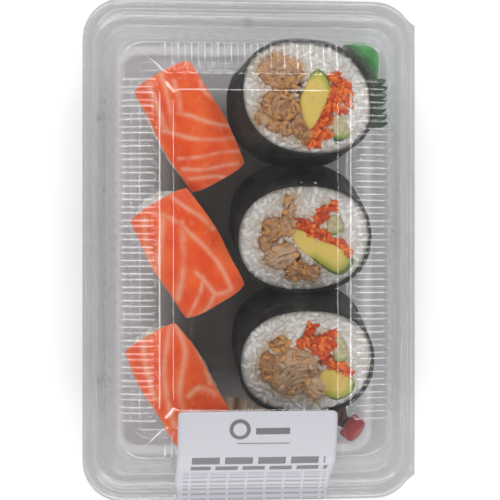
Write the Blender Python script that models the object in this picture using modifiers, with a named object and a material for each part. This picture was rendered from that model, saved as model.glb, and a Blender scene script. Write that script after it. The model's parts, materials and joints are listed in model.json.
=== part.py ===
"""Takeaway sushi in a clear hinged box: three salmon nigiri, three thick roll slices and condiments.

Metres, +Z up. The origin is under the middle of the box, on the surface that it stands on.
+X is the hinged long side. +Y is the end that has no label.
"""

import math
import random

import bmesh
import bpy
from mathutils import Matrix, Vector, geometry, noise

MM = 0.001
GAP = 0.3 * MM

# Box: one sheet, folded at the hinge on +X. Sizes are half widths in X and Y.
SHEET = 0.5 * MM
HINGE_Z = 24.0 * MM
FLANGE = (65.0 * MM, 97.5 * MM)
FLANGE_RADIUS = 15.0 * MM
EAR_Y = 88.5 * MM
BEAD = (60.0 * MM, 90.6 * MM)
BEAD_RISE = 1.25 * MM
WALL_TOP = (57.0 * MM, 87.2 * MM)
WALL_FOOT_Z = 2.2 * MM
TRAY_FOOT = (50.6 * MM, 80.6 * MM)
FLOOR_PANEL = (44.6 * MM, 74.6 * MM)
FLOOR_RISE = 0.5 * MM
CORNER_STEPS = 4

# Lid, measured from the hinge plane to the underside of the sheet.
LID_FOOT = (56.0 * MM, 86.0 * MM)
SHOULDER = (51.2 * MM, 79.5 * MM)
SHOULDER_RISE = 15.8 * MM
PANEL = (36.5 * MM, 66.9 * MM)
PANEL_RISE = 20.3 * MM
TOP_PANEL = (31.3 * MM, 60.0 * MM)
TOP_RISE = 21.4 * MM
BUTTONS = ((-58.0 * MM, 51.0 * MM), (-58.0 * MM, -50.5 * MM), (-1.0 * MM, 88.6 * MM))
BUTTON_RADIUS = 1.7 * MM
BUTTON_HEIGHT = 0.8 * MM

# Flutes pressed out of the lid and the tray.
SIDE_RIBS = 26
END_RIBS = 14
RIB_PITCH = 5.04 * MM
RIB_HEIGHT = 0.9 * MM
RIB_BASE = 1.5 * MM
RIB_CREST = 0.85 * MM

# Label on the lid, hanging down to the flange at the -Y end.
LABEL_X = (-29.5 * MM, 31.0 * MM)
LABEL_START = 60.6 * MM
LABEL_THICKNESS = 0.2 * MM

# Rolls. lean is towards the azimuth, both in degrees.
NORI = 0.8 * MM
ROLL_POINTS = 26
ROLLS = (
    {
        "centre": (21.4, 59.0, 37.15),
        "half": (27.2, 23.4),
        "thick": 18.9,
        "lean": 18.0,
        "towards": 45.0,
        "grains": 17,
        "chicken": (
            (-13.6, 8.4, 5.4, 6.0),
            (-6.8, 11.0, 5.2, 5.2),
            (-14.2, -1.6, 4.6, 5.6),
            (-7.0, 1.6, 5.0, 6.0),
            (-10.8, -8.6, 5.8, 4.8),
            (-5.2, -7.8, 3.6, 4.4),
        ),
        "avocado": (4.2, -1.6, 12.0, 4.3, -97.0),
        "carrot": (
            (11.4, 10.4, 4.6, 18.0),
            (13.4, 7.8, 5.0, -10.0),
            (14.2, 5.2, 4.8, 12.0),
            (14.6, 2.4, 4.8, -14.0),
            (15.0, -0.6, 4.8, 8.0),
            (14.8, -3.2, 4.6, -10.0),
        ),
        "cucumber": (13.4, -10.6, 4.6, 4.4, -25.0),
    },
    {
        "centre": (19.6, 3.9, 36.7),
        "half": (26.2, 22.1),
        "thick": 29.8,
        "lean": 19.0,
        "towards": -90.0,
        "grains": 17,
        "chicken": (
            (-8.6, -5.6, 6.0, 5.6),
            (-12.2, 2.8, 5.0, 4.8),
            (-7.0, 5.0, 4.4, 5.4),
            (-6.6, 12.0, 3.2, 4.2),
            (-1.4, -9.8, 5.0, 3.6),
        ),
        "avocado": (8.2, -3.4, 11.6, 4.6, 156.0),
        "carrot": (
            (1.4, 12.4, 4.2, 64.0),
            (4.6, 11.6, 5.4, 22.0),
            (3.8, 8.6, 5.4, -8.0),
            (4.4, 5.8, 4.8, -20.0),
            (7.0, 4.0, 4.4, -28.0),
        ),
        "cucumber": (15.2, 6.8, 3.6, 4.4, 12.0),
    },
    {
        "centre": (20.6, -43.5, 36.7),
        "half": (26.3, 22.1),
        "thick": 29.8,
        "lean": 19.0,
        "towards": -90.0,
        "grains": 17,
        "chicken": (
            (-8.6, -5.6, 7.6, 7.6),
            (-2.8, 0.6, 6.8, 5.8),
            (-0.2, -8.0, 5.2, 6.0),
            (-11.4, 3.0, 4.6, 4.4),
        ),
        "avocado": (12.0, -8.8, 8.8, 4.4, 32.0),
        "carrot": (
            (0.4, 11.0, 5.4, 24.0),
            (5.4, 11.4, 5.2, -22.0),
            (7.8, 9.0, 4.8, 16.0),
            (6.4, 6.4, 3.6, -40.0),
            (7.6, 3.4, 3.6, -76.0),
        ),
        "cucumber": (14.4, 2.4, 3.8, 4.8, -8.0),
    },
)
FILLING_DOME = 1.0 * MM
SHRED_HALF = 1.45 * MM

# Nigiri: place, turn in degrees, slab length and width, height of the slab's top.
NIGIRI = (
    {"centre": (-23.7, 47.6), "turn": -60.7, "slab": (47.5, 26.0), "height": 32.0, "grains": 13},
    {"centre": (-24.9, -1.2), "turn": -59.5, "slab": (46.0, 28.0), "height": 33.0, "grains": 13},
    {"centre": (-28.2, -52.6), "turn": -60.0, "slab": (46.0, 25.5), "height": 31.5, "grains": 13},
)
SLAB_THICKNESS = 4.6 * MM
RICE_POINTS = 16
GRAIN = (2.7 * MM, 1.15 * MM, 1.05 * MM)

# Wasabi: the middle of its rounded outer side, then (share of its width, height) up it.
FLOOR_Z = SHEET + FLOOR_RISE
WASABI_CORNER = (42.7, 74.0)
WASABI_LEVELS = ((0.4, 1.5), (0.72, 7.0), (0.98, 20.0), (0.96, 29.0), (0.6, 33.0))

# Grass leaf, along the wall. z of its teeth's roots and tips.
LEAF_Y = (48.6 * MM, 68.0 * MM)
LEAF_Z = (16.5 * MM, 22.5 * MM)
LEAF_TEETH = 7
LEAF_THICKNESS = 0.4 * MM

# Ginger: name, place, width, depth, height, turn in degrees.
GINGER = (
    ("ginger_fold", (-4.4, -68.4), 8.6, 19.0, 12.0, -8.0, 9.0, 0.35),
    ("ginger_curl", (4.1, -67.6), 3.8, 11.0, 12.5, -24.0, 4.0, 0.14),
)
GINGER_THICKNESS = 1.1 * MM

# Soy sauce bottle: middle of its foot, its direction, and (radius, z) down its outside.
SOY_FOOT = (29.0, -60.4, 8.6)
SOY_UP = (0.72, -0.58, 0.38)
SOY_BODY = (
    (0.0, 14.8),
    (2.6, 14.8),
    (2.6, 12.8),
    (4.6, 11.0),
    (5.2, 6.0),
    (4.6, 1.2),
    (3.0, 0.0),
    (0.0, 0.0),
)
SOY_CAP = ((0.0, 21.0), (3.9, 21.0), (4.6, 20.2), (4.9, 15.3), (0.0, 15.3))


def clear_scene():
    for obj in list(bpy.data.objects):
        bpy.data.objects.remove(obj, do_unlink=True)
    for mesh in list(bpy.data.meshes):
        bpy.data.meshes.remove(mesh)


def material(name, color, roughness, alpha=1.0):
    made = bpy.data.materials.new(name)
    made.use_nodes = True
    shader = made.node_tree.nodes["Principled BSDF"]
    shader.inputs["Base Color"].default_value = (*color, 1.0)
    shader.inputs["Roughness"].default_value = roughness
    shader.inputs["Metallic"].default_value = 0.0
    shader.inputs["Alpha"].default_value = alpha
    made.diffuse_color = (*color, alpha)
    return made


def add_object(name, mesh, finish, collection, parent=None):
    obj = bpy.data.objects.new(name, mesh)
    mesh.materials.clear()
    mesh.materials.append(finish)
    collection.objects.link(obj)
    obj.parent = parent
    return obj


def mesh_from(bm, name, outward=True):
    """The bmesh as a mesh; outward turns the faces of a closed shape to point out."""
    if outward:
        bmesh.ops.recalc_face_normals(bm, faces=bm.faces)
    mesh = bpy.data.meshes.new(name)
    bm.to_mesh(mesh)
    bm.free()
    return mesh


def loft(rings, name, close_start=True, close_end=True, outward=True, around=False):
    """Faces between rings that have the same number of points. around joins the last ring to the first."""
    bm = bmesh.new()
    loops = [[bm.verts.new(point) for point in ring] for ring in rings]
    count = len(loops[0])
    pairs = list(zip(loops, loops[1:]))
    if around:
        pairs.append((loops[-1], loops[0]))
    for lower, upper in pairs:
        for i in range(count):
            j = (i + 1) % count
            bm.faces.new((lower[i], lower[j], upper[j], upper[i]))
    if close_start:
        bm.faces.new(loops[0][::-1])
    if close_end:
        bm.faces.new(loops[-1])
    return mesh_from(bm, name, outward)


def evaluated_mesh(obj):
    graph = bpy.context.evaluated_depsgraph_get()
    return bpy.data.meshes.new_from_object(obj.evaluated_get(graph))


def combine(base, others, operation):
    """One union or difference of base with the closed meshes in others, applied."""
    helpers = bpy.data.collections.new(base.name + "_helpers")
    bpy.context.scene.collection.children.link(helpers)
    for index, mesh in enumerate(others):
        add_object(f"{base.name}_helper_{index}", mesh, base.data.materials[0], helpers)
    boolean = base.modifiers.new("Combine", "BOOLEAN")
    boolean.operation = operation
    boolean.solver = "MANIFOLD"
    boolean.operand_type = "COLLECTION"
    boolean.collection = helpers
    bpy.context.view_layer.update()
    combined = evaluated_mesh(base)
    base.modifiers.clear()
    base.data = combined
    for helper in list(helpers.objects):
        bpy.data.objects.remove(helper, do_unlink=True)
    bpy.data.collections.remove(helpers)
    return base


def keep_largest(mesh):
    """Drops loose scraps and sealed hollows: only the piece with most faces stays."""
    bm = bmesh.new()
    bm.from_mesh(mesh)
    unseen = set(bm.verts)
    pieces = []
    while unseen:
        stack = [unseen.pop()]
        piece = set(stack)
        while stack:
            for edge in stack.pop().link_edges:
                for vert in edge.verts:
                    if vert in unseen:
                        unseen.remove(vert)
                        piece.add(vert)
                        stack.append(vert)
        pieces.append(piece)
    pieces.sort(key=len)
    for piece in pieces[:-1]:
        bmesh.ops.delete(bm, geom=list(piece), context="VERTS")
    bm.to_mesh(mesh)
    bm.free()


def box_ring(half, radius, z, ears=False, cut=False):
    """A rounded rectangle, anticlockwise. ears pulls the +X corners out along the hinge.

    cut makes each corner a straight cut, so that the part stands on few, far points.
    """
    points = []
    for quarter, (sign_x, sign_y) in enumerate(((1, 1), (-1, 1), (-1, -1), (1, -1))):
        for step in range(CORNER_STEPS + 1):
            share = step / CORNER_STEPS
            start, here, end = (math.radians(90.0 * (quarter + turn)) for turn in (0.0, share, 1.0))
            around = Vector((math.cos(here), math.sin(here)))
            if cut:
                first = Vector((math.cos(start), math.sin(start)))
                around = first.lerp(Vector((math.cos(end), math.sin(end))), share)
            x = sign_x * (half[0] - radius) + radius * around.x
            y = sign_y * (half[1] - radius) + radius * around.y
            if ears and abs(around.x - 1.0) < 1e-6:
                y = sign_y * EAR_Y
            points.append(Vector((x, y, z)))
    return points


def shell(name, rings, finish, collection, side):
    """An open surface given its thickness: side -1 puts the sheet under it, 1 puts it on top."""
    mesh = loft(rings, name, close_start=False, close_end=True, outward=False)
    obj = add_object(name, mesh, finish, collection)
    thickness = obj.modifiers.new("Sheet", "SOLIDIFY")
    thickness.thickness = SHEET
    thickness.offset = side
    thickness.use_even_offset = True
    thickness.use_quality_normals = True
    return obj


def rib_mesh(path, side, along):
    """One flute on the sheet. path holds (outwards, z) points on the sheet's outer face."""
    points = [Vector((out, z)) for out, z in path]
    rings = []
    for index, point in enumerate(points):
        before = points[max(index - 1, 0)]
        after = points[min(index + 1, len(points) - 1)]
        into = (point - before).normalized() if index else (after - point).normalized()
        away = (after - point).normalized() if index < len(points) - 1 else into
        bend = (into + away).normalized()
        normal = Vector((bend.y, -bend.x))
        normal /= max(normal.dot(Vector((away.y, -away.x))), 0.5)
        if normal.x < 0.0 and normal.y < 0.0:
            normal = -normal
        inset = Vector((0.0, 0.0))
        if index == 0:
            inset = away * RIB_HEIGHT * 1.2
        if index == len(points) - 1:
            inset = -into * RIB_HEIGHT * 1.2
        base = point - normal * SHEET / 2
        crest = point + normal * RIB_HEIGHT + inset
        section = ((base, -RIB_BASE), (crest, -RIB_CREST), (crest, RIB_CREST), (base, RIB_BASE))
        rings.append([side_point(side, place, along + shift) for place, shift in section])
    return loft(rings, "rib")


def side_point(side, place, along):
    """A point given by its distance outwards on one of the box's four sides."""
    out, z = place
    return {
        "+X": Vector((out, along, z)),
        "-X": Vector((-out, along, z)),
        "+Y": Vector((along, out, z)),
        "-Y": Vector((along, -out, z)),
    }[side]


def rib_places():
    """Every flute as (side, axis index, place along the side)."""
    for axis, count in ((0, SIDE_RIBS), (1, END_RIBS)):
        for sign in "+-":
            for index in range(count):
                yield sign + "XY"[axis], axis, (index - (count - 1) / 2) * RIB_PITCH


def outer_face(points):
    """Moves a polyline of (outwards, z) points from the sheet's inner face to its outer one."""
    moved = []
    for index, point in enumerate(points):
        before = points[max(index - 1, 0)]
        after = points[min(index + 1, len(points) - 1)]
        run = (after - before).normalized()
        normal = Vector((run.y, -run.x))
        moved.append(point + normal * SHEET)
    return moved


def between(start, end, share):
    return start + (end - start) * share


def make_tray(finish, collection):
    top = HINGE_Z - GAP / 2
    rings = [
        box_ring(FLANGE, FLANGE_RADIUS, top, ears=True),
        box_ring(BEAD, 11.0 * MM, top),
        box_ring((BEAD[0] - 0.9 * MM, BEAD[1] - 0.9 * MM), 10.5 * MM, top + BEAD_RISE),
        box_ring(WALL_TOP, 9.5 * MM, top + BEAD_RISE),
        box_ring(TRAY_FOOT, 8.5 * MM, WALL_FOOT_Z),
        box_ring((TRAY_FOOT[0] - 1.8 * MM, TRAY_FOOT[1] - 1.8 * MM), 7.0 * MM, SHEET, cut=True),
        box_ring(FLOOR_PANEL, 6.0 * MM, SHEET, cut=True),
        box_ring((FLOOR_PANEL[0] - 0.8 * MM, FLOOR_PANEL[1] - 0.8 * MM), 5.5 * MM, FLOOR_Z),
    ]
    tray = shell("tray", rings, finish, collection, -1)
    ribs = []
    for side, axis, along in rib_places():
        low = Vector((TRAY_FOOT[axis], WALL_FOOT_Z))
        high = Vector((WALL_TOP[axis], top + BEAD_RISE))
        wall = outer_face([low, high])
        path = [between(wall[0], wall[1], 0.12), between(wall[0], wall[1], 0.84)]
        ribs.append(rib_mesh(path, side, along))
    return combine(tray, ribs, "UNION")


def lid_profile(axis):
    """(outwards, z) points on the lid's underside from the wall's foot to the panel."""
    under = HINGE_Z + GAP / 2
    return [
        Vector((LID_FOOT[axis], under + BEAD_RISE)),
        Vector((SHOULDER[axis], under + SHOULDER_RISE)),
        Vector((PANEL[axis], under + PANEL_RISE)),
    ]


def make_lid(finish, collection):
    under = HINGE_Z + GAP / 2
    shift = GAP + SHEET
    rings = [
        box_ring(FLANGE, FLANGE_RADIUS, under, ears=True),
        box_ring((BEAD[0] + shift, BEAD[1] + shift), 11.6 * MM, under),
        box_ring((BEAD[0] - 0.1 * MM, BEAD[1] - 0.1 * MM), 11.0 * MM, under + BEAD_RISE),
        box_ring(LID_FOOT, 9.0 * MM, under + BEAD_RISE),
        box_ring(SHOULDER, 9.5 * MM, under + SHOULDER_RISE),
        box_ring(PANEL, 8.0 * MM, under + PANEL_RISE),
        box_ring(TOP_PANEL, 5.0 * MM, under + TOP_RISE),
    ]
    lid = shell("lid", rings, finish, collection, 1)
    extras = []
    for side, axis, along in rib_places():
        foot, shoulder, panel = outer_face(lid_profile(axis))
        path = [between(foot, shoulder, 0.14), shoulder, between(shoulder, panel, 0.94)]
        extras.append(rib_mesh(path, side, along))
    bead_top = under + BEAD_RISE + SHEET
    for x, y in BUTTONS:
        extras.append(disc_mesh(x, y, bead_top - SHEET / 2, bead_top + BUTTON_HEIGHT, BUTTON_RADIUS))
    return combine(lid, extras, "UNION")


def disc_mesh(x, y, low, high, radius):
    bm = bmesh.new()
    bmesh.ops.create_cone(
        bm,
        cap_ends=True,
        segments=10,
        radius1=radius,
        radius2=radius * 0.75,
        depth=high - low,
        matrix=Matrix.Translation((x, y, (low + high) / 2)),
    )
    return mesh_from(bm, "disc")


def make_label(finish, collection):
    """A paper strip that lies over the lid's flutes, from the top panel down to the flange."""
    foot, shoulder, panel = outer_face(lid_profile(1))
    over = RIB_HEIGHT + GAP
    flange_top = HINGE_Z + GAP / 2 + SHEET
    panel_top = HINGE_Z + TOP_RISE + SHEET + 2 * GAP
    line = [
        Vector((LABEL_START, panel_top)),
        Vector((LABEL_START + 2.0 * MM, panel_top)),
        panel + Vector((0.1 * MM, over + 0.1 * MM)),
        shoulder + Vector((0.75 * over, 1.0 * over)),
        foot + Vector((1.1 * over, 1.9 * over)),
        Vector((BEAD[1] + 1.0 * MM, flange_top + BEAD_RISE + GAP)),
        Vector((BEAD[1] + 1.6 * MM, flange_top + GAP)),
        Vector((FLANGE[1] - 0.4 * MM, flange_top + GAP)),
    ]
    insets = [2.0 * MM, 0.0, 0.0, 0.0, 0.0, 0.0, 0.0, 1.0 * MM]
    bm = bmesh.new()
    left = [bm.verts.new((LABEL_X[0] + inset, -p.x, p.y)) for p, inset in zip(line, insets)]
    right = [bm.verts.new((LABEL_X[1] - inset, -p.x, p.y)) for p, inset in zip(line, insets)]
    for i in range(len(line) - 1):
        bm.faces.new((left[i], left[i + 1], right[i + 1], right[i]))
    obj = add_object("label", mesh_from(bm, "label", outward=False), finish, collection)
    paper = obj.modifiers.new("Paper", "SOLIDIFY")
    paper.thickness = LABEL_THICKNESS
    paper.offset = 1
    return obj


def oval(half, count, inset=0.0, centre=(0.0, 0.0), turn=0.0, power=2.3):
    """Points of a slightly squared oval, anticlockwise, in the XY plane."""
    points = []
    cos_turn = math.cos(turn)
    sin_turn = math.sin(turn)
    for index in range(count):
        angle = 2 * math.pi * index / count
        cos_a = math.cos(angle)
        sin_a = math.sin(angle)
        x = (half[0] - inset) * math.copysign(abs(cos_a) ** (2 / power), cos_a)
        y = (half[1] - inset) * math.copysign(abs(sin_a) ** (2 / power), sin_a)
        points.append((centre[0] + x * cos_turn - y * sin_turn, centre[1] + x * sin_turn + y * cos_turn))
    return points


def prism(outline, low, high, dome=0.0, crown=0.8):
    """A closed column over a flat outline, its top rising by dome on a smaller outline."""
    centre = sum((Vector(p) for p in outline), Vector((0.0, 0.0))) / len(outline)
    shrink = [centre + (Vector(p) - centre) * crown for p in outline]
    rings = [[Vector((*p, low)) for p in outline], [Vector((*p, high)) for p in outline]]
    if dome:
        rings.append([Vector((*p, high + dome)) for p in shrink])
    return loft(rings, "prism")


def grain_mesh(place, direction, up, scale):
    """One grain of rice with few sides, long along direction."""
    bm = bmesh.new()
    bmesh.ops.create_icosphere(bm, subdivisions=1, radius=1.0)
    side = up.cross(direction).normalized()
    top = direction.cross(side).normalized()
    turn = Matrix((direction, side, top)).transposed().to_4x4()
    size = Matrix.Diagonal((GRAIN[0] * scale, GRAIN[1] * scale, GRAIN[2] * scale, 1.0))
    bmesh.ops.transform(bm, matrix=Matrix.Translation(place) @ turn @ size, verts=bm.verts)
    return mesh_from(bm, "grain")


def half_moon(spec):
    """The outline of a slice with one straight and one round long side."""
    x, y, half_long, half_wide, turn = spec
    angle = math.radians(turn)
    along = Vector((math.cos(angle), math.sin(angle)))
    across = Vector((-along.y, along.x))
    points = []
    for step in range(9):
        bow = math.pi * step / 8
        points.append((math.cos(bow) * half_long, (2.0 * math.sin(bow) - 1.0) * half_wide))
    points.append((-half_long * 0.45, -half_wide * 0.72))
    points.append((half_long * 0.45, -half_wide * 0.72))
    return [tuple((Vector((x, y)) + along * a + across * b) * MM) for a, b in points]


def filling_outlines(spec):
    """Every filling's flat outlines in the face's own plane, by the filling's name."""
    chicken = [
        oval((a * MM, b * MM), 10, centre=(x * MM, y * MM), turn=0.3 * i, power=2.0)
        for i, (x, y, a, b) in enumerate(spec["chicken"])
    ]
    return {
        "chicken": chicken,
        "avocado": [half_moon(spec["avocado"])],
        "carrot": [shred(*strip) for strip in spec["carrot"]],
        "cucumber": [wedge(*spec["cucumber"])],
    }


def shred(x, y, half_long, turn):
    """The outline of a straight strip."""
    spin = Matrix.Rotation(math.radians(turn), 2)
    corners = ((-1, -1), (1, -1), (1, 1), (-1, 1))
    return [
        tuple(Vector((x, y)) * MM + spin @ Vector((a * half_long * MM, b * SHRED_HALF))) for a, b in corners
    ]


def wedge(x, y, half_a, half_b, turn):
    """The outline of a cucumber stick that was cut from a round."""
    spin = Matrix.Rotation(math.radians(turn), 2)
    corners = ((-1.0, -0.7), (1.0, -1.0), (1.05, 0.0), (0.7, 1.0), (-1.0, 0.6))
    return [tuple((Vector((x, y)) + spin @ Vector((a * half_a, b * half_b))) * MM) for a, b in corners]


def ray_reach(centre, ray, outline):
    """How far a ray from centre runs before it leaves a convex outline."""
    reach = 0.0
    far = centre + ray * 0.2
    for a, b in zip(outline, outline[1:] + outline[:1]):
        hit = geometry.intersect_line_line_2d(centre, far, Vector(a), Vector(b))
        if hit is not None:
            reach = max(reach, (hit - centre).dot(ray))
    return reach


def rice_outlines(spec, outlines):
    """The rice's flat outside, and the fillings' common hull with its points facing the outside's."""
    half = (spec["half"][0] * MM, spec["half"][1] * MM)
    outside = oval(half, ROLL_POINTS, inset=NORI + GAP)
    points = [tuple(p) for group in outlines.values() for outline in group for p in outline]
    hull = [Vector(points[i]) for i in geometry.convex_hull_2d(points)]
    centre = sum(hull, Vector((0.0, 0.0))) / len(hull)
    facing = []
    for point in outside:
        ray = (Vector(point) - centre).normalized()
        facing.append(centre + ray * ray_reach(centre, ray, hull))
    return outside, facing


def grown(outline, by):
    """An anticlockwise outline with every edge moved outwards by the same distance."""
    points = [Vector(p) for p in outline]
    moved = []
    for before, point, after in zip(points[-1:] + points[:-1], points, points[1:] + points[:1]):
        into = (point - before).normalized()
        away = (after - point).normalized()
        normal_in = Vector((into.y, -into.x))
        normal_out = Vector((away.y, -away.x))
        moved.append(point + (normal_in + normal_out) * by / max(1.0 + normal_in.dot(normal_out), 0.4))
    return moved


def ring_solid(outside, inside, low, high, name):
    """A tube wall between two outlines that have the same number of points."""
    rings = [
        [Vector((*p, low)) for p in outside],
        [Vector((*p, high)) for p in outside],
        [Vector((*p, high)) for p in inside],
        [Vector((*p, low)) for p in inside],
    ]
    return loft(rings, name, close_start=False, close_end=False, around=True)


def make_roll(number, spec, finishes, collection):
    """One slice: nori, rice and the fillings that run through it, on an empty that carries its lean."""
    lean = math.radians(spec["lean"])
    towards = math.radians(spec["towards"])
    axis = Vector((-math.sin(towards), math.cos(towards), 0.0))
    carrier = bpy.data.objects.new(f"roll_{number}", None)
    carrier.matrix_world = Matrix.Translation(Vector(spec["centre"]) * MM) @ Matrix.Rotation(lean, 4, axis)
    collection.objects.link(carrier)
    half = (spec["half"][0] * MM, spec["half"][1] * MM)
    back = -spec["thick"] * MM
    inner = oval(half, ROLL_POINTS, inset=NORI)
    wrap = ring_solid(oval(half, ROLL_POINTS), inner, back, -0.5 * MM, "nori")
    add_object(f"roll_{number}_nori", wrap, finishes["nori"], collection, carrier)
    outlines = filling_outlines(spec)
    outside, hull = rice_outlines(spec, outlines)
    column = prism(outside, back + 0.3 * MM, -0.9 * MM, dome=0.5 * MM, crown=0.82)
    rice = add_object(f"roll_{number}_rice", column, finishes["rice"], collection)
    draw = random.Random(40 + number)
    grains = []
    for index in range(spec["grains"]):
        angle = 2 * math.pi * (index + draw.uniform(-0.3, 0.3)) / spec["grains"]
        place = ring_place(outside, hull, angle, draw.uniform(0.46, 0.64))
        heading = angle + math.pi / 2 + draw.uniform(-0.6, 0.6)
        direction = Vector((math.cos(heading), math.sin(heading), draw.uniform(-0.2, 0.2))).normalized()
        grains.append(grain_mesh(Vector((*place, -0.5 * MM)), direction, Vector((0, 0, 1)), 0.85))
    combine(rice, grains, "UNION")
    cutters = []
    for group in outlines.values():
        for outline in group:
            cutters.append(prism(grown(outline, GAP * 1.2), back - 2.0 * MM, 3.0 * MM))
    combine(rice, cutters, "DIFFERENCE")
    keep_largest(rice.data)
    rice.parent = carrier
    for food, group in outlines.items():
        low = back + 0.2 * MM
        columns = []
        for index, outline in enumerate(group):
            high = -0.2 * MM + 0.45 * MM * (index % 3)
            dome = FILLING_DOME if food in ("chicken", "avocado") else 0.0
            columns.append(prism(outline, low - 0.05 * MM * index, high, dome))
        filling = add_object(f"roll_{number}_{food}", columns[0], finishes[food], collection)
        if len(columns) > 1:
            combine(filling, columns[1:], "UNION")
            keep_largest(filling.data)
        filling.parent = carrier


def ring_place(outside, hull, angle, share):
    """A flat place in the rice at an angle round it, share of the way in from outside."""
    at = (angle / (2 * math.pi)) % 1.0 * len(outside)
    index = int(at) % len(outside)
    return Vector(outside[index]).lerp(Vector(hull[index]), share)


def drape(spec, s, t):
    """Height of a salmon slab's top face, s along it and t across it, in millimetres."""
    left = 0.42 * max(0.0, -t - 0.2 * spec["slab"][1]) ** 1.35
    right = 0.2 * max(0.0, t - 0.28 * spec["slab"][1]) ** 1.4
    ends = 0.022 * max(0.0, abs(s) - 11.0) ** 2
    ripple = 0.5 * math.sin(0.22 * s + 0.3 * t)
    return spec["height"] - left - right - ends + ripple


def slab_under(spec, s, t):
    """Height just under the slab at a place, below its thickness and the gap."""
    slope_s = (drape(spec, s + 0.5, t) - drape(spec, s - 0.5, t)) / 1.0
    slope_t = (drape(spec, s, t + 0.5) - drape(spec, s, t - 0.5)) / 1.0
    steep = math.sqrt(1.0 + slope_s**2 + slope_t**2)
    return drape(spec, s, t) - (SLAB_THICKNESS + 4.2 * GAP) / MM * steep


def make_salmon(number, spec, finish, collection, carrier):
    """A draped slab with uneven edges: a grid raised to the drape, then given its thickness."""
    length, width = spec["slab"]
    bm = bmesh.new()
    bmesh.ops.create_grid(bm, x_segments=8, y_segments=5, size=0.5)
    for vert in bm.verts:
        along = vert.co.x * 2
        across = vert.co.y * 2
        narrow = 1.0 - 0.10 * along**4 + 0.03 * math.sin(5.0 * along + number)
        s = along * length / 2 * (1.0 - 0.06 * across**4)
        t = across * width / 2 * narrow
        vert.co = Vector((s, t, drape(spec, s, t))) * MM
    mesh = mesh_from(bm, "salmon", outward=False)
    obj = add_object(f"nigiri_{number}_salmon", mesh, finish, collection, carrier)
    slab = obj.modifiers.new("Slab", "SOLIDIFY")
    slab.thickness = SLAB_THICKNESS
    slab.offset = -1
    slab.use_even_offset = True


def rice_outline(spec, grow):
    """The nigiri's rice in plan: a rounded block a little shorter than its slab."""
    length, width = spec["slab"]
    return oval((length / 2 - 2.6 + grow, width / 2 - 1.2 + grow), RICE_POINTS, power=2.8)


def make_rice_block(number, spec, finish, collection, carrier):
    """Pressed rice under the slab: wide at its foot, with its top held just under the slab."""
    levels = ((0.0, -1.4), (0.16, 0.4), (0.62, 0.5))
    rings = []
    for share, grow in levels:
        ring = []
        for s, t in rice_outline(spec, grow):
            ring.append(Vector((s, t, share * slab_under(spec, s * 0.95, t * 0.95))) * MM)
        rings.append(ring)
    for shrink in (0.93, 0.55):
        ring = []
        for s, t in rice_outline(spec, 0.0):
            top = slab_under(spec, s * shrink, t * shrink) - 0.4
            ring.append(Vector((s * shrink, t * shrink, top)) * MM)
        rings.append(ring)
    bm = bmesh.new()
    loops = [[bm.verts.new(point) for point in ring] for ring in rings]
    for lower, upper in zip(loops, loops[1:]):
        for i in range(RICE_POINTS):
            j = (i + 1) % RICE_POINTS
            bm.faces.new((lower[i], lower[j], upper[j], upper[i]))
    peak = bm.verts.new(Vector((0.0, 0.0, slab_under(spec, 0.0, 0.0) - 0.6)) * MM)
    for i in range(RICE_POINTS):
        bm.faces.new((loops[-1][i], loops[-1][(i + 1) % RICE_POINTS], peak))
    bm.faces.new(loops[0][::-1])
    rice = add_object(f"nigiri_{number}_rice", mesh_from(bm, "rice"), finish, collection)
    draw = random.Random(70 + number)
    grains = []
    outline = rice_outline(spec, 0.2)
    for index in range(spec["grains"]):
        s, t = outline[int(index * RICE_POINTS / spec["grains"])]
        z = draw.uniform(0.2, 0.62) * (slab_under(spec, s, t) - 3.0) + 1.5
        tangent = Vector((-t, s, 0.0)).normalized()
        direction = (tangent + Vector((0.0, 0.0, draw.uniform(-1.2, 1.2)))).normalized()
        grains.append(grain_mesh(Vector((s, t, z)) * MM, direction, Vector((s, t, 0.0)).normalized(), 1.0))
    combine(rice, grains, "UNION")
    keep_largest(rice.data)
    rice.parent = carrier


def make_nigiri(number, spec, finishes, collection):
    carrier = bpy.data.objects.new(f"nigiri_{number}", None)
    carrier.location = Vector((*spec["centre"], 0.0)) * MM + Vector((0.0, 0.0, FLOOR_Z + GAP))
    carrier.rotation_euler = (0.0, 0.0, math.radians(spec["turn"]))
    collection.objects.link(carrier)
    make_salmon(number, spec, finishes["salmon"], collection, carrier)
    make_rice_block(number, spec, finishes["rice"], collection, carrier)


def make_wasabi(finish, collection):
    """A soft dab in the corner beside the first roll, hollowed where the roll presses it."""
    roll = ROLLS[0]
    steps = 7
    inner = []
    for step in range(steps):
        angle = math.radians(12.0 + 46.0 * step / (steps - 1))
        x = roll["centre"][0] + (roll["half"][0] + 1.6) * math.cos(angle)
        y = roll["centre"][1] + (roll["half"][1] + 1.6) * math.sin(angle)
        inner.append(Vector((x, y)) * MM)
    corner = Vector(WASABI_CORNER) * MM
    outer = []
    for step in range(steps):
        angle = math.radians(-8.0 + 98.0 * step / (steps - 1))
        outer.append(corner + Vector((7.4 * math.cos(angle), 7.0 * math.sin(angle))) * MM)
    outline = outer + inner[::-1]
    middle = sum(outline, Vector((0.0, 0.0))) / len(outline)
    rings = []
    for share, height in WASABI_LEVELS:
        z = height * MM
        ring = []
        for p in outline:
            bump = 0.4 * MM * noise.noise(Vector((p.x, p.y, z)) / MM * 0.3)
            q = middle + (p - middle) * share
            ring.append(Vector((q.x, q.y, z + bump * (share < 1.0 and z > 10 * MM))))
        rings.append(ring)
    add_object("wasabi", loft(rings, "wasabi"), finish, collection)


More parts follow.
